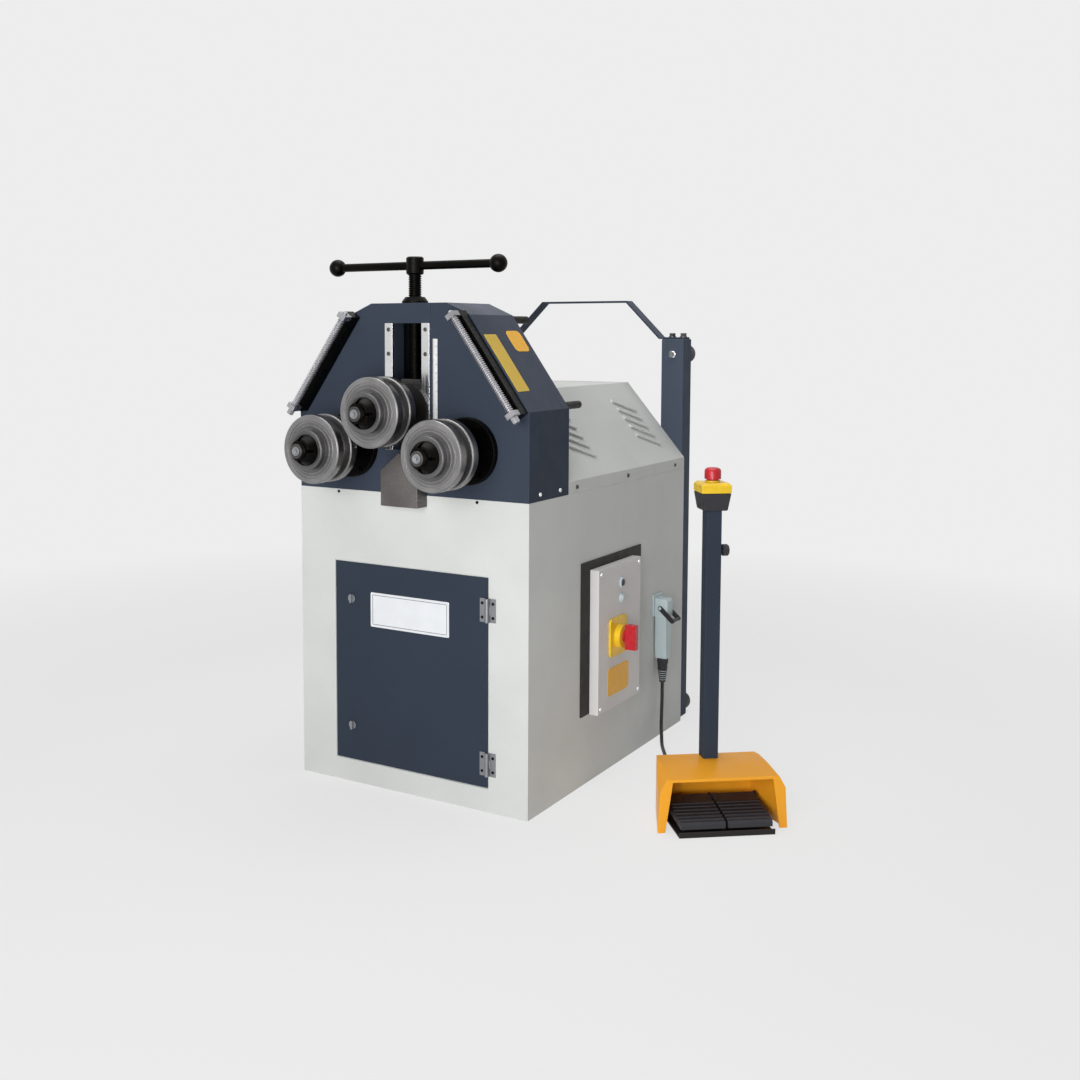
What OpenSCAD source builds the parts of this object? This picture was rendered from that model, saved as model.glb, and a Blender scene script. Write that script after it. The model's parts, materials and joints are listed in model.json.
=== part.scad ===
// Three-roll section bending machine with a separate foot-pedal station.
// Origin at the centre of the cabinet's floor face: X to the right, Y to the back, Z up, millimetres.

/* [Cabinet] */
// Width of the cabinet
cab_w = 625; // [610:5:680]
// Depth of the cabinet, front to back
cab_d = 860; // [840:5:950]
// Height of the cabinet
cab_h = 700; // [660:5:760]
// Thickness of the cabinet's sheet
sheet_t = 3; // [2.5:0.5:5]
// Thickness of the plate that closes the cabinet's top
top_plate_t = 12; // [8:1:20]
// Distance between the floor anchor holes, side to side
anchor_x = 500; // [440:5:520]
// Distance between the floor anchor holes, front to back
anchor_y = 740; // [600:10:760]
// Diameter of a floor anchor hole
anchor_d = 14; // [10:1:18]

/* [Door] */
// Width of the door
door_w = 420; // [360:5:450]
// Height of the door
door_h = 474; // [420:2:520]
// Height of the door's lower edge above the floor
door_z = 55; // [45:1:80]
// Thickness of the door's sheet
door_t = 2.5; // [1.5:0.5:2.5]
// Gap around the door
door_gap = 2; // [1:0.5:4]
// Height of one hinge
hinge_h = 53; // [40:1:70]
// Width of one hinge leaf from the pin
hinge_leaf_w = 20; // [15:1:30]
// Distance of the locks from the door's free edge
lock_inset = 48; // [36:1:70]

/* [Head] */
// Height of the head above the cabinet
head_h = 432; // [420:2:460]
// Depth of the head, front to back
head_d = 184; // [178:2:210]
// Height of the head's upright sides
head_side_h = 196; // [170:2:220]
// Distance between the two upper shoulders
head_shoulder_w = 330; // [310:2:350]
// Height of the shoulders above the cabinet
head_shoulder_h = 405; // [400:1:412]
// Width of the flat on top
head_top_w = 204; // [180:2:230]
// Thickness of the front plate
front_plate_t = 40; // [34:1:44]
// Thickness of the rear plate
rear_plate_t = 30; // [20:1:34]
// Thickness of the folded cover between the plates
head_cover_t = 4; // [2:0.5:5]
// Width of the slot that the slide runs in
slot_w = 79; // [76:1:86]
// Height of the crosshead block over the slot
crosshead_h = 45; // [36:1:56]

/* [Rolls] */
// Diameter of a roll
roll_d = 155; // [140:1:162]
// Length of a roll
roll_len = 75; // [60:1:84]
// Distance of the rolls' front faces from the head
roll_reach = 155; // [145:1:175]
// Diameter of the shaft under the rolls
shaft_d = 35; // [30:1:38]
// Distance between the two lower shafts
lower_span = 320; // [316:2:330]
// Height of the lower shafts above the cabinet
lower_h = 106; // [105:1:116]
// Height of the upper shaft above the cabinet at rest
upper_h = 193; // [190:1:205]
// Diameter of the groove ring between the discs
groove_d = 125; // [110:1:135]
// Diameter of a shaft nut
nut_d = 70; // [66:1:84]
// Number of teeth on a lower gear
lower_teeth = 32; // [32:2:36]
// Number of teeth on the drive pinion
pinion_teeth = 22; // [20:2:24]

/* [Spindle] */
// Diameter of the spindle's thread
spindle_d = 30; // [24:1:32]
// Distance of the spindle behind the head's front face
spindle_in = 28; // [26:1:32]
// Height of the T-bar above the head at rest
bar_rise = 84; // [76:1:110]
// Distance between the ball centres
handle_span = 437; // [360:5:500]
// Diameter of the T-bar
bar_d = 19; // [14:1:22]
// Diameter of a ball end
ball_d = 40; // [32:1:50]

/* [Lateral guides] */
// Distance of a guide's upper end inside the head's shoulder
guide_top_in = 13; // [9:1:19]
// Height of the upper end above the cabinet
guide_top_h = 395; // [388:1:398]
// Distance of a guide's lower end inside the head's side
guide_low_in = 21.5; // [18.5:0.5:32.5]
// Height of the lower end above the cabinet
guide_low_h = 200; // [190:1:204]
// Diameter of a guide screw
guide_screw_d = 17; // [12:1:18]
// Diameter of a support bar
support_d = 18; // [14:1:19]
// Length of a support bar behind the head
support_tail = 86; // [60:2:110]

/* [Rear hood] */
// Height of the hood above the cabinet
hood_h = 229; // [215:1:260]
// Height of the hood's upright skirt
hood_skirt_h = 29; // [20:1:40]
// Width of the hood's flat top
hood_top_w = 287; // [260:2:320]
// Thickness of the hood's sheet
hood_t = 2; // [1.5:0.5:3]
// Number of louvres in one group
louvres = 5; // [3:1:6]
// Length of one louvre
louvre_len = 104; // [70:2:120]

/* [Rear posts] */
// Width of a post, side to side
post_w = 64; // [50:1:70]
// Depth of a post
post_d = 56; // [46:1:60]
// Height of a post's top above the floor
post_top = 1048; // [1000:2:1100]
// Distance of a post's outer face inside the cabinet's side
post_inset = 6.5; // [2:0.5:20]
// Height of the hoop's top above the posts
hoop_rise = 105; // [80:1:140]
// Width of the hoop's flat top
hoop_top_w = 262; // [220:2:300]
// Width of the hoop's flat bar
hoop_bar_w = 40; // [30:1:44]

/* [Electrical panel] */
// Width of the panel cover, front to back
panel_w = 235; // [220:1:250]
// Height of the panel cover
panel_h = 346; // [320:2:370]
// Distance of the cover's face from the cabinet's side
panel_out = 26; // [18:1:34]
// Distance of the cover's middle in front of the cabinet's middle
panel_fore = 22; // [0:1:40]
// Height of the cover's middle above the floor
panel_z = 338; // [330:1:380]
// Depth of the electrical box inside the cabinet
box_depth = 130; // [100:5:160]

/* [Connector] */
// Distance of the connector behind the cabinet's middle
plug_back = 256; // [230:1:280]
// Height of the top of the socket housing
socket_top = 376; // [360:1:400]
// Distance of the plug's middle from the cabinet's side
plug_out = 19; // [17:1:22]

/* [Pedal station] */
// Place of the station to the right of the cabinet's middle
station_x = 651; // [640:1:720]
// Place of the station behind the cabinet's middle
station_y = -200; // [-230:1:-190]
// Turn of the station about its own middle
station_yaw = 38.5; // [30:0.5:45]
// Width of the pedal guard at the floor
guard_w = 287; // [270:1:310]
// Height of the pedal guard
guard_h = 127; // [120:1:145]
// Thickness of the guard's wall
guard_t = 5; // [3:0.5:6]
// Width of one pedal
pedal_w = 98; // [85:1:100]
// Side of the square column
column_w = 34; // [30:1:50]
// Height of the column's top above the floor
column_top = 680; // [600:1:760]
// Side of the emergency-stop box
estop_w = 66; // [60:1:80]
// Diameter of the emergency-stop button
estop_d = 36; // [30:1:50]

/* [Hidden] */
round_fn = 64;
$fn = round_fn;
cut_over = 1;
// Clearance between pieces of one body that fit over each other
seat_gap = 0.05;
// Radial running clearance of a shaft in its bearing or nut
run_gap = 0.05;
// Clearance between sliding faces
slide_gap = 0.3;

cabinet_grey = [0.83, 0.84, 0.82];
navy = [0.22, 0.25, 0.32];
black = [0.09, 0.09, 0.10];
bright = [0.75, 0.75, 0.76];
raw_steel = [0.45, 0.42, 0.42];
dark_steel = [0.32, 0.31, 0.31];
white = [0.92, 0.92, 0.92];
yellow = [0.93, 0.78, 0.12];
orange = [0.93, 0.62, 0.12];
red = [0.75, 0.10, 0.13];
pale_blue = [0.72, 0.82, 0.84];
motor_blue = [0.30, 0.38, 0.46];

// Main planes and axes
front_y = -cab_d / 2;
side_x = cab_w / 2;
rear_y = cab_d / 2;
head_top = cab_h + head_h;
plate_back_y = front_y + front_plate_t;
head_rear_y = front_y + head_d;
rear_plate_y = head_rear_y - rear_plate_t;
lower_x = lower_span / 2;
lower_z = cab_h + lower_h;
upper_z = cab_h + upper_h;
roll_front_y = front_y - roll_reach;
roll_rear_y = roll_front_y + roll_len;

// Door, lip, hinges and locks
lip_t = 3;
lip_in = 10;
lip_out = 15;
door_mid_z = door_z + door_h / 2;
hinge_r = 5;
hinge_pin_r = 2.5;
hinge_off = 6;
hinge_leaf_t = 3;
hinge_clear = 6.5;
hinge_knuckle_gap = 0.4;
hinge_upper_drop = 72;
hinge_lower_rise = 55;
hinge_x = door_w / 2 + door_gap / 2;
hinge_y = front_y - hinge_off;
hinge_zs = [door_z + door_h - hinge_upper_drop, door_z + hinge_lower_rise];
knuckle_h = (hinge_h - 2 * hinge_knuckle_gap) / 3;
lock_upper_drop = 86;
lock_lower_rise = 84;
lock_r = 10;
lock_head_t = 4;
lock_wing_w = 5;
lock_wing_t = 5;
lock_shaft_r = 6;
lock_cam_w = 14;
lock_cam_t = 4;
lock_cam_over = 12;
lock_cam_gap = 2;
lock_x = -door_w / 2 + lock_inset;
lock_zs = [door_z + door_h - lock_upper_drop, door_z + lock_lower_rise];
lock_cam_y = front_y + sheet_t + lip_t + lock_cam_gap;

// Crosshead, guide strips, rule and rest
crosshead_w = 122;
crosshead_z = head_top - crosshead_h;
crosshead_proud = 2;
crosshead_back_y = front_y + 2 * spindle_in;
strip_w = 21;
strip_t = 6;
slot_low_h = 100;
slot_low_z = cab_h + slot_low_h;
rule_w = 12;
rule_t = 1.5;
rule_h = 178;
rule_x = 73;
rule_low_h = 174;
rest_w = 100;
rest_d = 40;
rest_low = 25;
rest_side_h = 56;
rest_peak_h = 98;

// Bearings, flanges and shafts
flange_r = 75;
flange_t = 15;
flange_spigot_r = 50;
flange_bore_r = 28;
flange_chamfer = 2;
front_bearing_r = 42.5;
front_bearing_w = 19;
front_journal_r = 22.5;
rear_bearing_r = 31;
rear_bearing_w = 14;
bearing_shield = 1.5;
bearing_ring = 5;
thread_step = 1;
thread_r = shaft_d / 2 - thread_step;
shaft_out = 50;
shaft_chamfer = 2;
centre_hole_r = 4;
centre_hole_d = 6;
collar_r = 35;
collar_gap = 2;
gear_seat_r = 20;
gear_w = 30;
gear_gap = 4;
gear_hub_r = 32;
gear_web_t = 14;
gear_rim_t = 14;
front_bearing_y = plate_back_y - front_bearing_w - flange_chamfer;
rear_bearing_y = rear_plate_y + gear_gap;
gear_back_y = rear_plate_y - gear_gap;
gear_front_y = gear_back_y - gear_w;
journal_end_y = plate_back_y + flange_chamfer;
shaft_end_y = rear_bearing_y + rear_bearing_w + flange_chamfer;

// Gear train: the pinion lies a little below the lower shafts
pinion_drop = 25.4;
pressure_angle = 20;
gear_backlash = 0.5;
dedendum_share = 1.25;
pinion_z = lower_z - pinion_drop;
gear_centres = sqrt(lower_x * lower_x + pinion_drop * pinion_drop);
gear_module = 2 * gear_centres / (lower_teeth + pinion_teeth);
mesh_angle = atan2(pinion_drop, lower_x);
pinion_pitch = 360 / pinion_teeth;
left_offset = mesh_angle + pinion_pitch * round((180 - 2 * mesh_angle) / pinion_pitch) - (180 - mesh_angle);
right_gear_turn = 180 + mesh_angle;
left_gear_turn = -mesh_angle - left_offset * pinion_teeth / lower_teeth;
pinion_turn = mesh_angle + pinion_pitch / 2;
pinion_shaft_r = 22;
pinion_hole_r = 30;
pinion_tail = 70;

// Roll discs and nuts
disc_t_share = 1 / 3;
disc_chamfer = 2.5;
rim_w = 12;
rim_groove_w = 3;
rim_groove_d = 2;
hub_d = 108;
hub_raise = 2;
disc_t = roll_len * disc_t_share;
spacer_d = 90;
spacer_t = 16;
spacer_chamfer = 2;
nut_t = 22;
nut_taper = 8;
nut_chamfer = 3;
nut_slot_w = 8;
nut_slot_d = 6;
nut_slots = 4;
nut_back_share = 0.3;
nut_back_y = roll_front_y - spacer_t;

// Slide
slide_gib_t = 12;
slide_gib_w = 18;
slide_below = 60;
slide_above = 60;
slide_tail = 33;
slide_flange_r = 60;
slide_flange_t = 8;
upper_bearing_r = 31;
upper_bearing_w = 14;
upper_collar_r = 30;
upper_collar_gap = 2;
slide_bore_r = 24;
keeper_t = 8;
keeper_w = 52;
keeper_d = 36;
slide_w = slot_w - 2 * slide_gap;
slide_front_y = front_y - strip_t - slide_gap;
slide_gib_y = plate_back_y + slide_gap;
slide_back_y = slide_gib_y + slide_gib_t + slide_tail;
slide_flange_y = slide_front_y - slide_flange_t;
slide_low = upper_z - slide_below;
slide_top = upper_z + slide_above;
upper_end_y = slide_back_y + flange_chamfer;

// Spindle, nut and T-handle
spindle_y = front_y + spindle_in;
spindle_foot_r = 13;
spindle_foot_h = 10;
spindle_neck_r = 10;
spindle_foot_gap = 0.3;
hub_r = 20;
hub_h = 40;
hub_chamfer = 3;
nut_body_r = 22;
nut_flange_r = 30;
nut_flange_top_r = 22;
nut_flange_h = 14;
nut_flange_edge = 4;
spindle_foot_z = slide_top - spindle_foot_h - spindle_foot_gap;
spindle_neck_top = slide_top + keeper_t + slide_gap;
bar_z = head_top + bar_rise;

// Lateral guides
guide_top_x = head_shoulder_w / 2 - guide_top_in;
guide_low_x = side_x - guide_low_in;
guide_dx = guide_low_x - guide_top_x;
guide_dz = guide_top_h - guide_low_h;
guide_len = sqrt(guide_dx * guide_dx + guide_dz * guide_dz);
guide_tilt = atan2(guide_dx, guide_dz);
rail_w = 24;
rail_t = 30;
rail_over = 15;
lug_len = 12;
lug_w = 22;
lug_wall = 11;
guide_screw_out = 45;
support_in = 20;
guide_neck_r = 5;
guide_head_r = 9;
guide_head_h = 14;
guide_tip_h = 6;
guide_screw_gap = 0.3;

// Gearbox and motor under the hood
gearbox_w = 180;
gearbox_len = 180;
gearbox_h = 182;
gearbox_chamfer = 22;
gearbox_foot_w = 30;
gearbox_foot_h = 16;
gearbox_bore_r = pinion_shaft_r + run_gap;
gearbox_foot_in = 12;
motor_r = 68;
motor_len = 230;
motor_flange_r = 78;
motor_flange_t = 14;
motor_fin_h = 8;
motor_fin_t = 4;
motor_fins = 20;
motor_cowl_len = 50;
motor_box_w = 80;
motor_box_len = 90;
motor_box_h = 34;
motor_box_in = 30;
motor_foot_w = 150;
motor_foot_len = 90;
motor_y = head_rear_y + gearbox_len;

// Hood louvres
louvre_tilt = 22.5;
louvre_w = 12;
louvre_rise = 6;
louvre_pitch = 28;
louvre_slot_w = 5;
louvre_skin = 1.2;
louvre_end = 3;
louvre_ys = [-89, 297];
louvre_share = 0.5;
hood_run = side_x - hood_top_w / 2;
hood_fall = hood_h - hood_skirt_h;
hood_slope_len = sqrt(hood_run * hood_run + hood_fall * hood_fall);
hood_slope = atan2(hood_fall, hood_run);
hood_top_z = cab_h + hood_h;

// Posts, feet and hoop
post_low = 5;
post_wall = 4;
post_cap_t = 5;
foot_r = 25;
foot_t = 50;
foot_low_h = 28;
foot_drop = 41;
foot_chamfer = 3;
hoop_t = 5;
hoop_knee_in = 11;
hoop_foot_over = 30;
hoop_bolt_xs = [-12, 20];
post_mid_x = side_x - post_inset - post_w / 2;
post_mid_y = rear_y + post_d / 2;

// Electrical panel
box_flange_t = 3;
box_flange_fore = 44;
box_flange_rear = 52;
box_flange_up = 21;
box_flange_short = 2;
box_wall = 2;
box_rim = 8;
box_room = 3;
cover_wall = 2;
panel_y = -panel_fore;
box_w = panel_w - 2 * box_rim;
box_h = panel_h - 2 * box_rim;
cover_x0 = side_x + box_flange_t;
cover_x1 = side_x + panel_out;
switch_plate_w = 92;
switch_plate_t = 6;
switch_plate_r = 10;
switch_collar_r = 28;
switch_collar_t = 14;
switch_hub_r = 14;
switch_hub_t = 4;
switch_grip_r = 30;
switch_grip_w = 16;
switch_grip_t = 28;
switch_shaft_r = 6;
switch_shaft_len = 24;
switch_fore = 18;
lamp_back = 6;
lamp_ups = [88, 126];
lamp_r = 9;
lamp_bezel_r = 12;
lamp_bezel_t = 4;
lamp_dome_r = 6;
lamp_dome = 4;
lamp_tail = 14;

// Connector on the side
socket_w = 36;
socket_h = 46;
socket_d = 38;
socket_plate_t = 5;
socket_plate_over = 10;
socket_chamfer = 6;
hood_plug_w = 32;
hood_plug_d = 30;
hood_plug_h = 112;
hood_plug_neck = 34;
hood_plug_neck_w = 24;
gland_r = 12;
gland_h = 62;
gland_tip_r = 7;
lever_t = 4;
lever_w = 12;
lever_gap = 0.5;
lever_pivot_up = 22;
lever_pivot_r = 4;
lever_reach = 34;
lever_drop = 30;
lever_bar_r = 5;
lever_pin_over = 1;
plug_x = side_x + plug_out;
plug_top = socket_top - socket_h;
gland_low = plug_top - hood_plug_h - gland_h;

// Pedal station
guard_top_w = 234;
guard_shoulder_w = 276;
guard_shoulder_h = 90;
guard_rear_w = 220;
guard_front = 66;
guard_rear = 75;
guard_visor_h = 115;
guard_visor_run = 59;
guard_rear_h = 100;
guard_rear_run = 11;
guard_leg_w = 17;
guard_opening_h = 109;
guard_taper = 16;
base_w = 210;
base_t = 4;
base_toe_gap = 1;
base_lip_t = 3;
base_lip_h = 12;
pivot_y = 30;
pivot_z = 36;
pivot_r = 5;
bracket_t = 4;
bracket_w = 26;
pedal_toe = 95;
pedal_toe_low = 16;
pedal_toe_top = 30;
pedal_boss_r = 11;
pedal_nose = 4;
pedal_ribs = 6;
pedal_rib_w = 5;
pedal_rib_h = 2.5;
pedal_rib_pitch = 14;
pedal_side_gap = 0.5;
column_back = 44;
column_wall = 3;
column_knob_z = 590;
column_knob_r = 13;
column_knob_h = 16;
column_knob_neck_r = 5;
column_knob_neck = 5;
estop_box_h = 39;
estop_lid_h = 22;
estop_taper = 6;
estop_chamfer = 5;
estop_stem_r = 11;
estop_collar_r = 16;
estop_collar_h = 4;
estop_cap_h = 22;
estop_neck_h = 10;
estop_hole_d = 19;
estop_stem_in = 13;
estop_edge = 2;
estop_round = 6;
estop_lid_z = column_top + estop_box_h;
estop_top_z = estop_lid_z + estop_lid_h;
pedal_gland_x = -60;
pedal_gland_z = 30;
pedal_gland_r = 8;
pedal_gland_tip_r = 6;
pedal_gland_len = 20;

// Screws
screw_r = 5;
screw_h = 3;
cap_r = 5;
cap_h = 7;
cap_count = 6;
cap_ring_r = 62;
hex_r = 9;
hex_h = 6;
head_screw_h = 15;
head_screw_front = 48;
head_screw_rear = 141;
skirt_screw_h = 14;
skirt_screw_ys = [-206, 70, 366];
cover_screw_in = 12;

// Pedal cable: round points along its route from the plug's gland to the station's gland
cable_d = 9;
cable_sides = 10;
cable_steps = 2;
cable_ref = [0.9, 0.435, 0];
cable_lead = [[0, 0, 0], [0, 0, -20], [0, 0, -40], [0, -1, -62]];
cable_floor = [[333, 250, 66], [337, 240, 40], [345, 224, 20], [355, 203, 8], [367, 180, 4.5],
    [386, 146, 4.5], [405, 112, 4.5], [422, 78, 4.5], [438, 42, 4.5], [453, 6, 4.5], [468, -30, 4.5],
    [482, -64, 4.5], [495, -94, 4.5], [506, -115, 7], [516, -130, 14], [526, -143, 23], [534, -153, 28]];

// Placing helpers: profiles are drawn as X,Z for along_y, Y,Z for along_x and radius,Y for turned_y
module along_y(y0, y1) {
    translate([0, y1, 0]) rotate([90, 0, 0]) linear_extrude(y1 - y0) children();
}

module along_x(x0, x1) {
    translate([x0, 0, 0]) rotate([90, 0, 90]) linear_extrude(x1 - x0) children();
}

module turned_y(x, z) {
    translate([x, 0, z]) rotate([-90, 0, 0]) rotate_extrude() children();
}

module rod_y(r, y0, y1, x, z) {
    translate([x, y0, z]) rotate([-90, 0, 0]) cylinder(r = r, h = y1 - y0);
}

module rod_x(r, x0, x1, y, z) {
    translate([x0, y, z]) rotate([0, 90, 0]) cylinder(r = r, h = x1 - x0);
}

module block(low, high) {
    translate(low) cube(high - low);
}

module both_sides() {
    children();
    mirror([1, 0, 0]) children();
}

module turned_x(y, z) {
    translate([0, y, z]) rotate([0, 90, 0]) rotate_extrude() children();
}

module round_rect(w, h, r) {
    square([w - 2 * r, h], center = true);
    square([w, h - 2 * r], center = true);
    for (sx = [-1, 1], sy = [-1, 1]) {
        translate([sx * (w / 2 - r), sy * (h / 2 - r)]) circle(r);
    }
}

module middle_rect(mid, w, h) {
    translate(mid) square([w, h], center = true);
}

// Vector helpers
function unit(v) = v / norm(v);
function left_of(v) = [-v.y, v.x];
function reversed(list) = [for (i = [len(list) - 1 : -1 : 0]) list[i]];

// A closed counter-clockwise outline moved inwards by t
function inset_points(points, t) = let (n = len(points)) [
    for (i = [0 : n - 1])
        let (
            before = left_of(unit(points[i] - points[(i + n - 1) % n])),
            after = left_of(unit(points[(i + 1) % n] - points[i]))
        )
        points[i] + (before + after) * t / (1 + before * after)
];

// The mitred normal of an open path at point i
function path_normal(path, i) = let (
    n = len(path),
    before = left_of(unit(path[max(i, 1)] - path[max(i, 1) - 1])),
    after = left_of(unit(path[min(i + 1, n - 1)] - path[min(i + 1, n - 1) - 1]))
) (before + after) / (1 + before * after);

// A strip of thickness t along an open path
function strip_points(path, t) = concat(
    [for (i = [0 : len(path) - 1]) path[i] - path_normal(path, i) * t / 2],
    [for (i = [len(path) - 1 : -1 : 0]) path[i] + path_normal(path, i) * t / 2]
);

// Right half of an outline, from the bottom up, made symmetric
function mirrored_outline(half) = concat(half, [for (p = reversed(half)) [-p.x, p.y]]);

function head_points(drop) = mirrored_outline([
    [side_x, cab_h - drop],
    [side_x, cab_h + head_side_h],
    [head_shoulder_w / 2, cab_h + head_shoulder_h],
    [head_top_w / 2, head_top]
]);

function hood_points(drop) = mirrored_outline([
    [side_x, cab_h - drop],
    [side_x, cab_h + hood_skirt_h],
    [hood_top_w / 2, hood_top_z]
]);

// Involute gear outline
function involute(a) = tan(a) * 180 / PI - a;
function polar(r, a) = [r * cos(a), r * sin(a)];
function gear_radius(teeth) = gear_module * teeth / 2;
function base_radius(teeth) = gear_radius(teeth) * cos(pressure_angle);
function root_radius(teeth) = gear_radius(teeth) - dedendum_share * gear_module;
function tip_radius(teeth) = gear_radius(teeth) + gear_module;
function tooth_half(teeth) = 90 / teeth - gear_backlash / gear_radius(teeth) / 4 * 180 / PI;
function flank_half(r, teeth) = tooth_half(teeth) + involute(pressure_angle)
    - involute(acos(min(1, base_radius(teeth) / r)));
flank_steps = 4;
function flank_radii(teeth) = let (low = max(base_radius(teeth), root_radius(teeth))) concat(
    [root_radius(teeth)],
    [for (i = [0 : flank_steps]) low + (tip_radius(teeth) - low) * i / flank_steps]
);
function gear_points(teeth, turn) = let (radii = flank_radii(teeth)) [
    for (i = [0 : teeth - 1])
        let (mid = turn + 360 * i / teeth)
        each concat(
            [for (r = radii) polar(r, mid - flank_half(r, teeth))],
            [for (r = reversed(radii)) polar(r, mid + flank_half(r, teeth))]
        )
];

// Cabinet
module door_rect(grow) {
    middle_rect([0, door_mid_z], door_w + 2 * grow, door_h + 2 * grow);
}

module cabinet_shell() {
    color(cabinet_grey) difference() {
        block([-side_x, front_y, 0], [side_x, rear_y, cab_h]);
        difference() {
            block([-side_x + sheet_t, front_y + sheet_t, sheet_t],
                [side_x - sheet_t, rear_y - sheet_t, cab_h + cut_over]);
            along_y(front_y, front_y + sheet_t + lip_t) difference() {
                door_rect(lip_out);
                door_rect(-lip_in);
            }
        }
        along_y(front_y - cut_over, front_y + sheet_t) door_rect(door_gap);
        along_x(side_x - sheet_t - cut_over, side_x + cut_over)
            middle_rect([panel_y, panel_z], box_w + 2 * box_room, box_h + 2 * box_room);
        for (sx = [-1, 1], sy = [-1, 1]) {
            translate([sx * anchor_x / 2, sy * anchor_y / 2, -cut_over])
                cylinder(d = anchor_d, h = sheet_t + 2 * cut_over);
        }
    }
}

module cabinet_top_plate() {
    color(raw_steel) block([-side_x + sheet_t, front_y + sheet_t, cab_h - top_plate_t],
        [side_x - sheet_t, rear_y - sheet_t, cab_h]);
}

// Door
module door_panel() {
    color(navy) difference() {
        along_y(front_y, front_y + door_t) door_rect(0);
        for (z = lock_zs) {
            rod_y(lock_shaft_r + slide_gap, front_y - cut_over, front_y + door_t + cut_over, lock_x, z);
        }
    }
}

// One hinge leaf: side is 1 on the frame and -1 on the door, spans are its knuckles' heights
module hinge_leaf(side, z, spans) {
    inner = hinge_x + side * hinge_clear;
    outer = hinge_x + side * hinge_leaf_w;
    block([min(inner, outer), front_y - hinge_leaf_t, z - hinge_h / 2],
        [max(inner, outer), front_y, z + hinge_h / 2]);
    for (low = spans) {
        block([min(hinge_x, inner), front_y - hinge_leaf_t, z + low],
            [max(hinge_x, inner), front_y, z + low + knuckle_h]);
        translate([hinge_x, hinge_y, z + low]) cylinder(r = hinge_r, h = knuckle_h);
    }
}

module frame_hinge_leaves() {
    color(black) for (z = hinge_zs) {
        hinge_leaf(1, z, [-hinge_h / 2, hinge_h / 2 - knuckle_h]);
        translate([hinge_x, hinge_y, z - hinge_h / 2]) cylinder(r = hinge_pin_r, h = hinge_h);
    }
}

module door_hinge_leaves() {
    color(black) for (z = hinge_zs) {
        difference() {
            hinge_leaf(-1, z, [-knuckle_h / 2]);
            translate([hinge_x, hinge_y, z - hinge_h / 2]) cylinder(r = hinge_pin_r + run_gap, h = hinge_h);
        }
    }
}

// Quarter-turn lock with its cam hanging down, which is unlocked
module door_lock(z) {
    color(bright) {
        turned_y(lock_x, z) polygon([
            [0, front_y - lock_head_t],
            [lock_r, front_y - lock_head_t],
            [lock_r, front_y],
            [lock_shaft_r, front_y],
            [lock_shaft_r, lock_cam_y + lock_cam_t],
            [0, lock_cam_y + lock_cam_t]
        ]);
        block([lock_x - lock_wing_w / 2, front_y - lock_head_t - lock_wing_t, z - lock_r],
            [lock_x + lock_wing_w / 2, front_y - lock_head_t, z + lock_r]);
        along_y(lock_cam_y, lock_cam_y + lock_cam_t) {
            translate([lock_x - lock_cam_w / 2, z - lock_inset - lock_cam_over])
                square([lock_cam_w, lock_inset + lock_cam_over]);
            translate([lock_x, z]) circle(lock_cam_w / 2);
        }
    }
}

module upper_door_lock() {
    door_lock(lock_zs[0]);
}

module lower_door_lock() {
    door_lock(lock_zs[1]);
}

// Head
module guide_bar_holes() {
    for (sx = [-1, 1], end = [[guide_top_x, guide_top_h], [guide_low_x, guide_low_h]]) {
        translate([sx * end.x, cab_h + end.y]) circle(support_d / 2 + seat_gap);
    }
}

module lower_holes(r) {
    for (sx = [-1, 1]) {
        translate([sx * lower_x, lower_z]) circle(r);
    }
}

module head_front_plate() {
    color(navy) along_y(front_y, plate_back_y) difference() {
        polygon(head_points(0));
        translate([-slot_w / 2, slot_low_z]) square([slot_w, head_h]);
        translate([-crosshead_w / 2, crosshead_z]) square([crosshead_w, head_h]);
        lower_holes(flange_spigot_r + seat_gap);
        guide_bar_holes();
    }
}

module head_rear_plate() {
    color(navy) along_y(rear_plate_y, head_rear_y) difference() {
        polygon(head_points(0));
        lower_holes(rear_bearing_r + seat_gap);
        translate([0, pinion_z]) circle(pinion_hole_r);
        guide_bar_holes();
    }
}

module head_cover() {
    color(navy) difference() {
        along_y(plate_back_y, rear_plate_y) difference() {
            polygon(head_points(0));
            polygon(inset_points(head_points(head_cover_t + cut_over), head_cover_t));
        }
        block([-crosshead_w / 2, plate_back_y - cut_over, crosshead_z],
            [crosshead_w / 2, crosshead_back_y, head_top + cut_over]);
    }
}

module crosshead_block() {
    color(navy) difference() {
        translate([0, 0, crosshead_z]) linear_extrude(crosshead_h) polygon([
            [-crosshead_w / 2, crosshead_back_y],
            [-crosshead_w / 2, front_y],
            [-crosshead_w / 2 + crosshead_proud, front_y - crosshead_proud],
            [crosshead_w / 2 - crosshead_proud, front_y - crosshead_proud],
            [crosshead_w / 2, front_y],
            [crosshead_w / 2, crosshead_back_y]
        ]);
        translate([0, spindle_y, crosshead_z - cut_over])
            cylinder(r = nut_body_r + seat_gap, h = crosshead_h + 2 * cut_over);
    }
}

module spindle_nut() {
    bore_r = spindle_d / 2 + run_gap;
    color(black) translate([0, spindle_y, 0]) rotate_extrude() polygon([
        [bore_r, crosshead_z],
        [nut_body_r, crosshead_z],
        [nut_body_r, head_top],
        [nut_flange_r, head_top],
        [nut_flange_r, head_top + nut_flange_edge],
        [nut_flange_top_r, head_top + nut_flange_h],
        [bore_r, head_top + nut_flange_h]
    ]);
}

module slide_guide_strips() {
    color(bright) both_sides() block([slot_w / 2, front_y - strip_t, slot_low_z],
        [slot_w / 2 + strip_w, front_y, crosshead_z]);
}

module scale_rule() {
    color(white) block([rule_x - rule_w / 2, front_y - rule_t, cab_h + rule_low_h],
        [rule_x + rule_w / 2, front_y, cab_h + rule_low_h + rule_h]);
}

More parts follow.
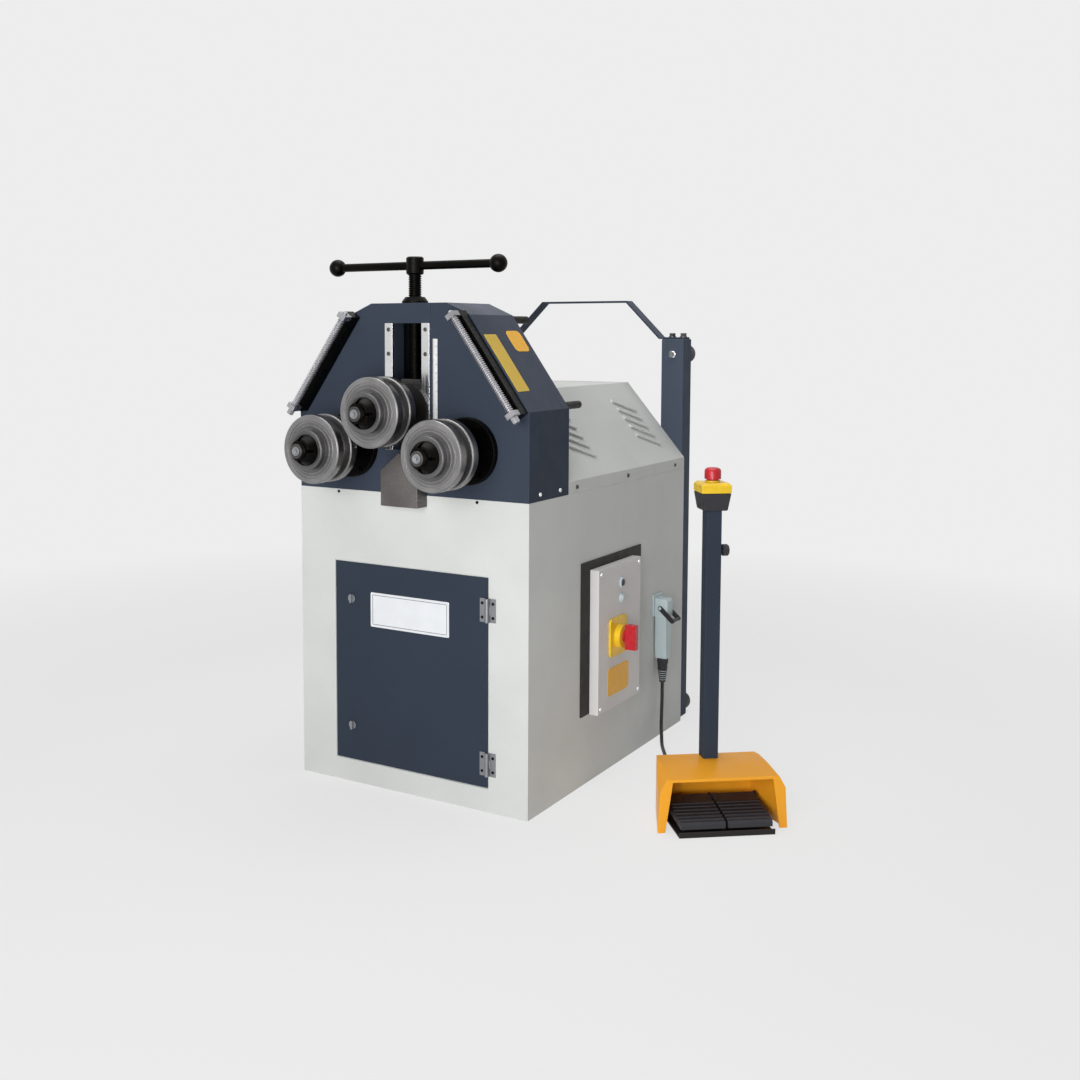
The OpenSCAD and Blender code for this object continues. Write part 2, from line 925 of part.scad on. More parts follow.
module centre_rest() {
    color(raw_steel) along_y(front_y - rest_d, front_y) polygon([
        [-rest_w / 2, cab_h - rest_low],
        [rest_w / 2, cab_h - rest_low],
        [rest_w / 2, cab_h + rest_side_h],
        [0, cab_h + rest_peak_h],
        [-rest_w / 2, cab_h + rest_side_h]
    ]);
}

// Bearings and their housings
module lower_bearing_flanges() {
    seat_r = front_bearing_r + seat_gap;
    color(black) both_sides() {
        turned_y(lower_x, lower_z) polygon([
            [flange_bore_r, front_y - flange_t],
            [flange_r - flange_chamfer, front_y - flange_t],
            [flange_r, front_y - flange_t + flange_chamfer],
            [flange_r, front_y],
            [flange_spigot_r, front_y],
            [flange_spigot_r, plate_back_y],
            [seat_r, plate_back_y],
            [seat_r, front_bearing_y],
            [flange_bore_r, front_bearing_y]
        ]);
        for (i = [0 : cap_count - 1]) {
            spot = polar(cap_ring_r, 360 * i / cap_count);
            rod_y(cap_r, front_y - flange_t - cap_h, front_y - flange_t, lower_x + spot.x, lower_z + spot.y);
        }
    }
}

module bearing(x, z, y, w, inner_r, outer_r) {
    turned_y(x, z) polygon([
        [inner_r, y],
        [inner_r + bearing_ring, y],
        [inner_r + bearing_ring, y + bearing_shield],
        [outer_r - bearing_ring, y + bearing_shield],
        [outer_r - bearing_ring, y],
        [outer_r, y],
        [outer_r, y + w],
        [outer_r - bearing_ring, y + w],
        [outer_r - bearing_ring, y + w - bearing_shield],
        [inner_r + bearing_ring, y + w - bearing_shield],
        [inner_r + bearing_ring, y + w],
        [inner_r, y + w]
    ]);
}

module lower_bearings() {
    color(bright) for (sx = [-1, 1]) {
        bearing(sx * lower_x, lower_z, front_bearing_y, front_bearing_w,
            front_journal_r + run_gap, front_bearing_r);
        bearing(sx * lower_x, lower_z, rear_bearing_y, rear_bearing_w,
            shaft_d / 2 + run_gap, rear_bearing_r);
    }
}

// Lateral guides: local Z runs up along the guide
module guide_frame() {
    translate([guide_top_x, 0, cab_h + guide_top_h]) rotate([0, -guide_tilt, 0]) children();
}

module guide_lug(z) {
    block([-lug_w / 2, front_y - guide_screw_out - lug_wall, z],
        [lug_w / 2, front_y - rail_t, z + lug_len]);
}

module guide_rails() {
    color(black) both_sides() {
        difference() {
            guide_frame() difference() {
                union() {
                    block([-rail_w / 2, front_y - rail_t, -guide_len - rail_over],
                        [rail_w / 2, front_y, rail_over]);
                    guide_lug(rail_over - lug_len);
                    guide_lug(-guide_len - rail_over);
                }
                translate([0, front_y - guide_screw_out, -guide_len - 2 * rail_over])
                    cylinder(r = guide_neck_r + run_gap, h = guide_len + 4 * rail_over);
            }
            along_y(front_y - support_in, front_y + cut_over) guide_bar_holes();
        }
        for (end = [[guide_top_x, guide_top_h], [guide_low_x, guide_low_h]]) {
            rod_y(support_d / 2, front_y - support_in, head_rear_y + support_tail, end.x, cab_h + end.y);
        }
    }
}

// Guide screw: a thread between the lugs, necks in the lugs and a head below
module guide_screw() {
    low = -guide_len - rail_over;
    color(bright) guide_frame() translate([0, front_y - guide_screw_out, 0]) {
        rotate_extrude() polygon([
            [0, low - guide_head_h - guide_screw_gap],
            [guide_head_r, low - guide_head_h - guide_screw_gap],
            [guide_head_r, low - guide_screw_gap],
            [guide_neck_r, low - guide_screw_gap],
            [guide_neck_r, low + lug_len + guide_screw_gap],
            [guide_screw_d / 2, low + lug_len + guide_screw_gap],
            [guide_screw_d / 2, rail_over - lug_len - guide_screw_gap],
            [guide_neck_r, rail_over - lug_len - guide_screw_gap],
            [guide_neck_r, rail_over + guide_tip_h],
            [0, rail_over + guide_tip_h]
        ]);
    }
}

module right_guide_screw() {
    guide_screw();
}

module left_guide_screw() {
    mirror([1, 0, 0]) guide_screw();
}

// Slide with its front flange, keeper plate and bearings
module slide_block() {
    socket_h_all = spindle_foot_h + 2 * spindle_foot_gap;
    seat_r = upper_bearing_r + seat_gap;
    color(dark_steel) {
        difference() {
            union() {
                block([-slide_w / 2, slide_front_y, slide_low], [slide_w / 2, slide_back_y, slide_top]);
                block([-slide_w / 2 - slide_gib_w, slide_gib_y, slide_low],
                    [slide_w / 2 + slide_gib_w, slide_gib_y + slide_gib_t, slide_top]);
                rod_y(slide_flange_r, slide_flange_y, slide_front_y, 0, upper_z);
            }
            rod_y(slide_bore_r, slide_flange_y - cut_over, slide_back_y + cut_over, 0, upper_z);
            rod_y(seat_r, slide_front_y, slide_front_y + upper_bearing_w, 0, upper_z);
            rod_y(seat_r, slide_back_y - upper_bearing_w, slide_back_y + cut_over, 0, upper_z);
            translate([0, spindle_y, slide_top - socket_h_all])
                cylinder(r = spindle_foot_r + spindle_foot_gap, h = socket_h_all + cut_over);
        }
        difference() {
            block([-keeper_w / 2, spindle_y - keeper_d / 2, slide_top],
                [keeper_w / 2, spindle_y + keeper_d / 2, slide_top + keeper_t]);
            translate([0, spindle_y, slide_top - cut_over])
                cylinder(r = spindle_neck_r + spindle_foot_gap, h = keeper_t + 2 * cut_over);
        }
        for (y = [slide_front_y, slide_back_y - upper_bearing_w]) {
            bearing(0, upper_z, y, upper_bearing_w, shaft_d / 2 + run_gap, upper_bearing_r);
        }
    }
}

module spindle() {
    hub_low = bar_z - hub_h / 2;
    hub_top = bar_z + hub_h / 2;
    color(dark_steel) difference() {
        translate([0, spindle_y, 0]) rotate_extrude() polygon([
            [0, spindle_foot_z],
            [spindle_foot_r, spindle_foot_z],
            [spindle_foot_r, spindle_foot_z + spindle_foot_h],
            [spindle_neck_r, spindle_foot_z + spindle_foot_h],
            [spindle_neck_r, spindle_neck_top],
            [spindle_d / 2, spindle_neck_top],
            [spindle_d / 2, hub_low],
            [hub_r - hub_chamfer, hub_low],
            [hub_r, hub_low + hub_chamfer],
            [hub_r, hub_top - hub_chamfer],
            [hub_r - hub_chamfer, hub_top],
            [0, hub_top]
        ]);
        rod_x(bar_d / 2 + seat_gap, -hub_r - cut_over, hub_r + cut_over, spindle_y, bar_z);
    }
}

module handle_bar() {
    color(black) {
        rod_x(bar_d / 2, -handle_span / 2, handle_span / 2, spindle_y, bar_z);
        for (sx = [-1, 1]) {
            translate([sx * handle_span / 2, spindle_y, bar_z]) sphere(d = ball_d);
        }
    }
}

// Shafts: the front end is the same on all three
shaft_tip_y = roll_front_y - shaft_out;
front_end_points = [
    [0, shaft_tip_y + centre_hole_d],
    [centre_hole_r, shaft_tip_y],
    [thread_r - shaft_chamfer, shaft_tip_y],
    [thread_r, shaft_tip_y + shaft_chamfer],
    [thread_r, roll_front_y],
    [shaft_d / 2, roll_front_y],
    [shaft_d / 2, roll_rear_y]
];

module lower_shaft(x) {
    collar_y = front_y - flange_t - collar_gap;
    color(dark_steel) turned_y(x, lower_z) polygon(concat(front_end_points, [
        [collar_r, roll_rear_y],
        [collar_r, collar_y],
        [front_journal_r, collar_y],
        [front_journal_r, journal_end_y],
        [gear_seat_r, journal_end_y],
        [gear_seat_r, gear_back_y],
        [shaft_d / 2, gear_back_y],
        [shaft_d / 2, shaft_end_y],
        [0, shaft_end_y]
    ]));
}

module lower_left_shaft() {
    lower_shaft(-lower_x);
}

module lower_right_shaft() {
    lower_shaft(lower_x);
}

module upper_shaft() {
    collar_y = slide_flange_y - upper_collar_gap;
    color(dark_steel) turned_y(0, upper_z) polygon(concat(front_end_points, [
        [upper_collar_r, roll_rear_y],
        [upper_collar_r, collar_y],
        [shaft_d / 2, collar_y],
        [shaft_d / 2, upper_end_y],
        [0, upper_end_y]
    ]));
}

// Rolls: two outer discs with a smaller groove ring between them, drawn as radius and depth
module roll_disc(face, back) {
    way = sign(back - face);
    bore_r = shaft_d / 2 + seat_gap;
    rim_r = roll_d / 2;
    groove_r = rim_r - rim_w;
    rim_y = face + way * hub_raise;
    polygon([
        [bore_r, face],
        [hub_d / 2, face],
        [hub_d / 2, rim_y],
        [groove_r - rim_groove_w, rim_y],
        [groove_r - rim_groove_w, rim_y + way * rim_groove_d],
        [groove_r, rim_y + way * rim_groove_d],
        [groove_r, rim_y],
        [rim_r - disc_chamfer, rim_y],
        [rim_r, rim_y + way * disc_chamfer],
        [rim_r, back - way * disc_chamfer],
        [rim_r - disc_chamfer, back],
        [bore_r, back]
    ]);
}

// Loose ring between the front disc and the nut
module roll_spacer() {
    bore_r = thread_r + seat_gap;
    back = roll_front_y - seat_gap;
    polygon([
        [bore_r, nut_back_y],
        [spacer_d / 2 - spacer_chamfer, nut_back_y],
        [spacer_d / 2, nut_back_y + spacer_chamfer],
        [spacer_d / 2, back],
        [bore_r, back]
    ]);
}

module roll_set(x, z) {
    ring_y = roll_front_y + disc_t;
    bore_r = shaft_d / 2 + seat_gap;
    color(raw_steel) turned_y(x, z) {
        roll_disc(roll_front_y, ring_y);
        translate([bore_r, ring_y + seat_gap])
            square([groove_d / 2 - bore_r, roll_len - 2 * disc_t - 2 * seat_gap]);
        roll_disc(roll_rear_y, roll_rear_y - disc_t);
        roll_spacer();
    }
}

module upper_roll() {
    roll_set(0, upper_z);
}

module lower_left_roll() {
    roll_set(-lower_x, lower_z);
}

module lower_right_roll() {
    roll_set(lower_x, lower_z);
}

module roll_nut(x, z) {
    low_y = nut_back_y - nut_t;
    bore_r = thread_r + seat_gap;
    color(black) difference() {
        turned_y(x, z) polygon([
            [bore_r, low_y],
            [nut_d / 2 - nut_taper - nut_chamfer, low_y],
            [nut_d / 2 - nut_taper, low_y + nut_chamfer],
            [nut_d / 2, nut_back_y - nut_chamfer],
            [nut_d / 2, nut_back_y],
            [bore_r, nut_back_y]
        ]);
        for (i = [0 : nut_slots - 1]) {
            translate([x, 0, z]) rotate([0, 360 * i / nut_slots, 0]) block(
                [-nut_slot_w / 2, low_y - cut_over, nut_d / 2 - nut_taper - nut_slot_d],
                [nut_slot_w / 2, nut_back_y - nut_t * nut_back_share, nut_d]);
        }
    }
}

module upper_roll_nut() {
    roll_nut(0, upper_z);
}

module lower_left_nut() {
    roll_nut(-lower_x, lower_z);
}

module lower_right_nut() {
    roll_nut(lower_x, lower_z);
}

// Gears
module lower_gear(x, turn) {
    rim_r = root_radius(lower_teeth) - gear_rim_t;
    recess = (gear_w - gear_web_t) / 2;
    color(dark_steel) difference() {
        along_y(gear_front_y, gear_back_y) translate([x, lower_z]) difference() {
            polygon(gear_points(lower_teeth, turn));
            circle(gear_seat_r + seat_gap);
        }
        for (y = [gear_front_y - cut_over, gear_back_y - recess]) {
            turned_y(x, lower_z) translate([gear_hub_r, y]) square([rim_r - gear_hub_r, recess + cut_over]);
        }
    }
}

module lower_left_gear() {
    lower_gear(-lower_x, left_gear_turn);
}

module lower_right_gear() {
    lower_gear(lower_x, right_gear_turn);
}

module drive_pinion() {
    color(dark_steel) {
        along_y(gear_front_y, gear_back_y) translate([0, pinion_z])
            polygon(gear_points(pinion_teeth, pinion_turn));
        rod_y(pinion_shaft_r, gear_back_y, head_rear_y + pinion_tail, 0, pinion_z);
    }
}

// Drive under the hood
module gearbox() {
    half = gearbox_w / 2;
    top = cab_h + gearbox_h;
    color(motor_blue) difference() {
        union() {
            along_y(head_rear_y, motor_y) polygon(mirrored_outline([
                [half, cab_h], [half, top - gearbox_chamfer], [half - gearbox_chamfer, top]
            ]));
            block([-half - gearbox_foot_w, head_rear_y + gearbox_foot_in, cab_h],
                [half + gearbox_foot_w, motor_y - gearbox_foot_in, cab_h + gearbox_foot_h]);
        }
        rod_y(gearbox_bore_r, head_rear_y - cut_over, head_rear_y + pinion_tail + collar_gap, 0, pinion_z);
    }
}

module drive_motor() {
    body_y = motor_y + motor_flange_t;
    cowl_y = motor_y + motor_len - motor_cowl_len;
    box_y = body_y + motor_box_in;
    fin_r = motor_r + motor_fin_h;
    color(motor_blue) {
        rod_y(motor_flange_r, motor_y, body_y, 0, pinion_z);
        along_y(body_y, cowl_y) translate([0, pinion_z]) {
            circle(motor_r);
            for (i = [0 : motor_fins - 1]) {
                rotate(360 * i / motor_fins) translate([-motor_fin_t / 2, 0]) square([motor_fin_t, fin_r]);
            }
        }
        rod_y(motor_flange_r, cowl_y, motor_y + motor_len, 0, pinion_z);
        block([-motor_box_w / 2, box_y, pinion_z],
            [motor_box_w / 2, box_y + motor_box_len, pinion_z + fin_r + motor_box_h]);
        block([-motor_foot_w / 2, box_y, cab_h],
            [motor_foot_w / 2, box_y + motor_foot_len, cab_h + gearbox_foot_h]);
        block([-motor_box_w / 2, box_y, cab_h], [motor_box_w / 2, box_y + motor_foot_len, pinion_z]);
    }
}

// Rear hood: local X runs down the slope and local Z out of it at each louvre
module louvre_places() {
    for (y = louvre_ys) {
        for (i = [0 : louvres - 1]) {
            down = hood_slope_len * louvre_share + (i - (louvres - 1) / 2) * louvre_pitch;
            translate([hood_top_w / 2, y, hood_top_z]) rotate([0, hood_slope, 0])
                translate([down, 0, 0]) rotate([0, 0, -louvre_tilt]) children();
        }
    }
}

module louvre_ridge() {
    along_y(-louvre_len / 2, louvre_len / 2) polygon([
        [-louvre_w / 2, -hood_t / 2],
        [louvre_w / 2, -hood_t / 2],
        [louvre_w / 2, louvre_rise],
        [-louvre_w / 2, 0]
    ]);
}

module louvre_slot() {
    inner_x = louvre_w / 2 - louvre_slot_w;
    inner_z = louvre_rise * (louvre_w - louvre_slot_w) / louvre_w - louvre_skin;
    along_y(-louvre_len / 2 + louvre_end, louvre_len / 2 - louvre_end) polygon([
        [inner_x, -2 * hood_t],
        [louvre_w / 2 + cut_over, -2 * hood_t],
        [louvre_w / 2 + cut_over, louvre_rise - louvre_skin],
        [inner_x, inner_z]
    ]);
}

module rear_hood() {
    color(cabinet_grey) difference() {
        union() {
            along_y(head_rear_y, rear_y) polygon(hood_points(0));
            both_sides() louvre_places() louvre_ridge();
        }
        along_y(head_rear_y - cut_over, rear_y - hood_t)
            polygon(inset_points(hood_points(hood_t + cut_over), hood_t));
        both_sides() louvre_places() louvre_slot();
    }
}

// Posts, feet and hoop
module rear_posts() {
    color(navy) both_sides() difference() {
        block([post_mid_x - post_w / 2, rear_y, post_low],
            [post_mid_x + post_w / 2, rear_y + post_d, post_top]);
        block([post_mid_x - post_w / 2 + post_wall, rear_y + post_wall, post_low - cut_over],
            [post_mid_x + post_w / 2 - post_wall, rear_y + post_d - post_wall, post_top - post_cap_t]);
    }
}

module rear_feet() {
    foot_y = rear_y + post_d;
    color(black) both_sides() for (z = [foot_low_h, post_top - foot_drop]) {
        turned_y(post_mid_x, z) polygon([
            [0, foot_y],
            [foot_r, foot_y],
            [foot_r, foot_y + foot_t - foot_chamfer],
            [foot_r - foot_chamfer, foot_y + foot_t],
            [0, foot_y + foot_t]
        ]);
    }
}

hoop_low_z = post_top + hoop_t / 2;
hoop_high_z = post_top + hoop_rise - hoop_t / 2;
hoop_knee_x = post_mid_x - post_w / 2 - hoop_knee_in;

module rear_hoop() {
    color(navy) along_y(post_mid_y - hoop_bar_w / 2, post_mid_y + hoop_bar_w / 2)
        polygon(strip_points(mirrored_outline([
            [post_mid_x + hoop_foot_over, hoop_low_z],
            [hoop_knee_x, hoop_low_z],
            [hoop_top_w / 2, hoop_high_z]
        ]), hoop_t));
}

// Electrical panel
switch_y = panel_y - switch_fore;
lamp_y = panel_y + lamp_back;

module electrical_box() {
    flange_mid = [
        panel_y + (box_flange_rear - box_flange_fore) / 2,
        panel_z + (box_flange_up + box_flange_short) / 2
    ];
    inner_w = box_w - 2 * box_wall;
    inner_h = box_h - 2 * box_wall;
    color(black) {
        along_x(side_x, cover_x0) difference() {
            middle_rect(flange_mid, panel_w + box_flange_fore + box_flange_rear,
                panel_h + box_flange_up - box_flange_short);
            middle_rect([panel_y, panel_z], inner_w, inner_h);
        }
        difference() {
            along_x(side_x - box_depth, side_x) middle_rect([panel_y, panel_z], box_w, box_h);
            along_x(side_x - box_depth + box_wall, side_x + cut_over)
                middle_rect([panel_y, panel_z], inner_w, inner_h);
        }
    }
}

module panel_cover() {
    color(cabinet_grey) difference() {
        along_x(cover_x0, cover_x1) middle_rect([panel_y, panel_z], panel_w, panel_h);
        along_x(cover_x0 - cut_over, cover_x1 - cover_wall)
            middle_rect([panel_y, panel_z], panel_w - 2 * cover_wall, panel_h - 2 * cover_wall);
        rod_x(switch_shaft_r + slide_gap, cover_x0, cover_x1 + cut_over, switch_y, panel_z);
        for (up = lamp_ups) {
            rod_x(lamp_r + seat_gap, cover_x0, cover_x1 + cut_over, lamp_y, panel_z + up);
        }
    }
}

collar_x = cover_x1 + switch_plate_t + switch_collar_t;

module main_switch_plate() {
    color(yellow) difference() {
        union() {
            along_x(cover_x1, cover_x1 + switch_plate_t) translate([switch_y, panel_z])
                round_rect(switch_plate_w, switch_plate_w, switch_plate_r);
            rod_x(switch_collar_r, cover_x1, collar_x, switch_y, panel_z);
        }
        rod_x(switch_shaft_r + slide_gap, cover_x1 - cut_over, collar_x + cut_over, switch_y, panel_z);
    }
}

module main_switch_knob() {
    face_x = collar_x + slide_gap;
    grip_x = face_x + switch_hub_t;
    color(red) {
        rod_x(switch_shaft_r, cover_x1 - switch_shaft_len, face_x, switch_y, panel_z);
        rod_x(switch_hub_r, face_x, grip_x, switch_y, panel_z);
        block([grip_x, switch_y - switch_grip_w / 2, panel_z - switch_grip_r],
            [grip_x + switch_grip_t, switch_y + switch_grip_w / 2, panel_z + switch_grip_r]);
    }
}

module panel_lamps() {
    bezel_x = cover_x1 + lamp_bezel_t;
    color(white) for (up = lamp_ups) {
        turned_x(lamp_y, panel_z + up) polygon([
            [0, cover_x1 - lamp_tail],
            [lamp_r, cover_x1 - lamp_tail],
            [lamp_r, cover_x1],
            [lamp_bezel_r, cover_x1],
            [lamp_bezel_r, bezel_x],
            [lamp_r, bezel_x],
            [lamp_dome_r, bezel_x + lamp_dome],
            [0, bezel_x + lamp_dome]
        ]);
    }
}

// Connector
lever_pivot_z = plug_top + lever_pivot_up;
lever_y = socket_w / 2 + lever_gap;

module socket_housing() {
    face_x = side_x + socket_d;
    pin = lever_y + lever_t + lever_pin_over;
    plate_half = socket_w / 2 + socket_plate_over;
    color(pale_blue) {
        block([side_x, plug_back - plate_half, plug_top],
            [side_x + socket_plate_t, plug_back + plate_half, socket_top + socket_plate_over]);
        along_y(plug_back - socket_w / 2, plug_back + socket_w / 2) polygon([
            [side_x, plug_top],
            [face_x, plug_top],
            [face_x, socket_top - socket_chamfer],
            [face_x - socket_chamfer, socket_top],
            [side_x, socket_top]
        ]);
        rod_y(lever_pivot_r, plug_back - pin, plug_back + pin, plug_x, lever_pivot_z);
    }
}

module plug_hood() {
    low = plug_top - hood_plug_h;
    color(pale_blue) {
        along_x(plug_x - hood_plug_d / 2, plug_x + hood_plug_d / 2) polygon([
            [plug_back - hood_plug_neck_w / 2, low],
            [plug_back + hood_plug_neck_w / 2, low],
            [plug_back + hood_plug_w / 2, low + hood_plug_neck],
            [plug_back + hood_plug_w / 2, plug_top],
            [plug_back - hood_plug_w / 2, plug_top],
            [plug_back - hood_plug_w / 2, low + hood_plug_neck]
        ]);
        translate([plug_x, plug_back, 0]) rotate_extrude() polygon([
            [0, gland_low],
            [gland_tip_r, gland_low],
            [gland_r, low - gland_h / 2],
            [gland_r, low],
            [0, low]
        ]);
    }
}

module socket_lever() {
    pivot = [plug_x, lever_pivot_z];
    tip = pivot + [lever_reach, -lever_drop];
    bar_half = lever_y + lever_t / 2;
    color(black) {
        for (low = [-lever_y - lever_t, lever_y]) {
            along_y(plug_back + low, plug_back + low + lever_t) difference() {
                union() {
                    polygon(strip_points([pivot, tip], lever_w));
                    translate(pivot) circle(lever_w / 2);
                    translate(tip) circle(lever_w / 2);
                }
                translate(pivot) circle(lever_pivot_r + run_gap);
            }
        }
        rod_y(lever_bar_r, plug_back - bar_half, plug_back + bar_half, tip.x, tip.y);
    }
}

// Pedal station: local -Y is the operator's side
module station() {
    translate([station_x, station_y, 0]) rotate([0, 0, station_yaw]) children();
}

function station_way(p) = [
    cos(station_yaw) * p.x - sin(station_yaw) * p.y,
    sin(station_yaw) * p.x + cos(station_yaw) * p.y,
    p.z
];
pedal_low_x = bracket_t / 2 + pedal_side_gap;
pedal_high_x = pedal_low_x + pedal_w;
bracket_x = pedal_high_x + pedal_side_gap;

module pedal_base() {
    front = -pedal_toe - base_toe_gap - base_lip_t;
    color(black) station() {
        block([-base_w / 2, front, 0], [base_w / 2, guard_rear - guard_t, base_t]);
        block([-base_w / 2, front, 0], [base_w / 2, front + base_lip_t, base_lip_h]);
        for (x = [-bracket_x - bracket_t, -bracket_t / 2, bracket_x]) {
            along_x(x, x + bracket_t) {
                translate([pivot_y - bracket_w / 2, 0]) square([bracket_w, pivot_z]);
                translate([pivot_y, pivot_z]) circle(bracket_w / 2);
            }
        }
        rod_x(pivot_r, -bracket_x - bracket_t, bracket_x + bracket_t, pivot_y, pivot_z);
        turned_y(pedal_gland_x, pedal_gland_z) polygon([
            [0, guard_rear],
            [pedal_gland_r, guard_rear],
            [pedal_gland_r, guard_rear + pedal_gland_len / 2],
            [pedal_gland_tip_r, guard_rear + pedal_gland_len],
            [0, guard_rear + pedal_gland_len]
        ]);
    }
}

module pedal_profile() {
    slope = atan2(pivot_z + pedal_boss_r - pedal_toe_top, pivot_y + pedal_toe);
    difference() {
        union() {
            polygon([
                [pivot_y, pivot_z + pedal_boss_r],
                [-pedal_toe + pedal_nose, pedal_toe_top + pedal_nose * tan(slope)],
                [-pedal_toe, pedal_toe_top - pedal_nose],
                [-pedal_toe, pedal_toe_low],
                [pivot_y, pivot_z - pedal_boss_r]
            ]);
            translate([pivot_y, pivot_z]) circle(pedal_boss_r);
            for (i = [1 : pedal_ribs]) {
                run = i * pedal_rib_pitch;
                translate([-pedal_toe + run, pedal_toe_top + run * tan(slope)]) rotate(slope)
                    square([pedal_rib_w, 2 * pedal_rib_h], center = true);
            }
        }
        translate([pivot_y, pivot_z]) circle(pivot_r + run_gap);
    }
}

module left_pedal() {
    color(black) station() along_x(-pedal_high_x, -pedal_low_x) pedal_profile();
}

module right_pedal() {
    color(black) station() along_x(pedal_low_x, pedal_high_x) pedal_profile();
}

function guard_front_points(drop) = mirrored_outline([
    [guard_w / 2, -drop],
    [guard_shoulder_w / 2, guard_shoulder_h],
    [guard_top_w / 2, guard_h]
]);

function guard_side_points(drop) = [
    [guard_rear, -drop],
    [guard_rear, guard_rear_h],
    [guard_rear - guard_rear_run, guard_h],
    [guard_visor_run - guard_front, guard_h],
    [-guard_front, guard_visor_h],
    [-guard_front, -drop]
];

guard_plan_points = mirrored_outline([[guard_w / 2, -guard_front], [guard_rear_w / 2, guard_rear]]);

module guard_form(front_points, side_points, plan_points) {
    intersection() {
        along_y(-guard_w, guard_w) polygon(front_points);
        along_x(-guard_w, guard_w) polygon(side_points);
        translate([0, 0, -guard_h]) linear_extrude(3 * guard_h) polygon(plan_points);
    }
}

// A hood open to the front and below, narrower at the rear
module pedal_guard() {
    drop = guard_t + cut_over;
    color(orange) station() difference() {
        guard_form(guard_front_points(0), guard_side_points(0), guard_plan_points);
        guard_form(inset_points(guard_front_points(drop), guard_t),
            inset_points(guard_side_points(drop), guard_t), inset_points(guard_plan_points, guard_t));
        along_y(-guard_front - cut_over, -guard_front + guard_t + cut_over) polygon(mirrored_outline([
            [guard_w / 2 - guard_leg_w, -cut_over],
            [guard_w / 2 - guard_leg_w - guard_taper, guard_opening_h]
        ]));
    }
}

module column_place() {
    station() translate([0, column_back, 0]) children();
}

module column() {
    color(navy) column_place() translate([0, 0, guard_h]) linear_extrude(column_top - guard_h) difference() {
        square(column_w, center = true);
        square(column_w - 2 * column_wall, center = true);
    }
}

module column_knob() {
    neck_x = column_w / 2 + column_knob_neck;
    color(black) column_place() turned_x(0, column_knob_z) polygon([
        [0, column_w / 2],
        [column_knob_neck_r, column_w / 2],
        [column_knob_neck_r, neck_x],
        [column_knob_r, neck_x],
        [column_knob_r, neck_x + column_knob_h],
        [0, neck_x + column_knob_h]
    ]);
}

// Both directions of a box share one half outline
module square_form(half) {
    intersection() {
        along_y(-estop_w, estop_w) polygon(mirrored_outline(half));
        along_x(-estop_w, estop_w) polygon(mirrored_outline(half));
    }
}

module estop_box() {
    color(black) column_place() square_form([
        [estop_w / 2 - estop_taper, column_top],
        [estop_w / 2, estop_lid_z]
    ]);
}

module estop_lid() {
    color(yellow) column_place() difference() {
        union() {
            square_form([
                [estop_w / 2, estop_lid_z],
                [estop_w / 2, estop_top_z - estop_chamfer],
                [estop_w / 2 - estop_chamfer, estop_top_z]
            ]);
            translate([0, 0, estop_lid_z]) cylinder(r = estop_collar_r, h = estop_lid_h + estop_collar_h);
        }
        translate([0, 0, estop_top_z - estop_hole_d])
            cylinder(r = estop_stem_r + slide_gap, h = estop_hole_d + estop_collar_h + cut_over);
    }
}

module estop_button() {
    cap_z = estop_top_z + estop_neck_h;
    cap_top = cap_z + estop_cap_h;
    color(red) column_place() rotate_extrude() polygon([
        [0, estop_top_z - estop_stem_in],
        [estop_stem_r, estop_top_z - estop_stem_in],
        [estop_stem_r, cap_z],
        [estop_d / 2 - estop_edge, cap_z],
        [estop_d / 2, cap_z + estop_edge],
        [estop_d / 2, cap_top - estop_round],
        [estop_d / 2 - estop_edge, cap_top - estop_edge],
        [estop_d / 2 - estop_round - estop_edge, cap_top],
        [0, cap_top]
    ]);
}

// Pedal cable
cable_start = [plug_x, plug_back, gland_low];
cable_end = [station_x, station_y, 0]
    + station_way([pedal_gland_x, guard_rear + pedal_gland_len, pedal_gland_z]);
cable_route = concat([for (p = cable_lead) cable_start + p], cable_floor, [cable_end]);

function smooth_point(a, b, c, d, u) = (2 * b + (c - a) * u + (2 * a - 5 * b + 4 * c - d) * u * u
    + (3 * b - a - 3 * c + d) * u * u * u) / 2;
function smooth_route(p, steps) = let (n = len(p)) concat(
    [for (i = [0 : n - 2], k = [0 : steps - 1])
        smooth_point(p[max(i - 1, 0)], p[i], p[i + 1], p[min(i + 2, n - 1)], k / steps)],
    [p[n - 1]]
);
function cable_ring(p, way) = let (
    side = unit(cable_ref - way * (cable_ref * way)),
    up = cross(way, side)
) [for (k = [0 : cable_sides - 1])
    p + (side * cos(360 * k / cable_sides) + up * sin(360 * k / cable_sides)) * cable_d / 2];

module pedal_cable() {
    path = smooth_route(cable_route, cable_steps);
    last = len(path) - 1;
    ways = [for (i = [0 : last])
        i == 0 ? [0, 0, -1] : i == last ? station_way([0, -1, 0]) : unit(path[i + 1] - path[i - 1])];
    points = [for (i = [0 : last]) each cable_ring(path[i], ways[i])];
    n = cable_sides;
    walls = [for (i = [0 : last - 1], k = [0 : n - 1])
        let (a = i * n + k, b = i * n + (k + 1) % n)
        each [[a, a + n, b + n], [a, b + n, b]]];
    caps = [[for (k = [0 : n - 1]) k], [for (k = [n - 1 : -1 : 0]) last * n + k]];
    color(black) polyhedron(points, concat(walls, caps));
}

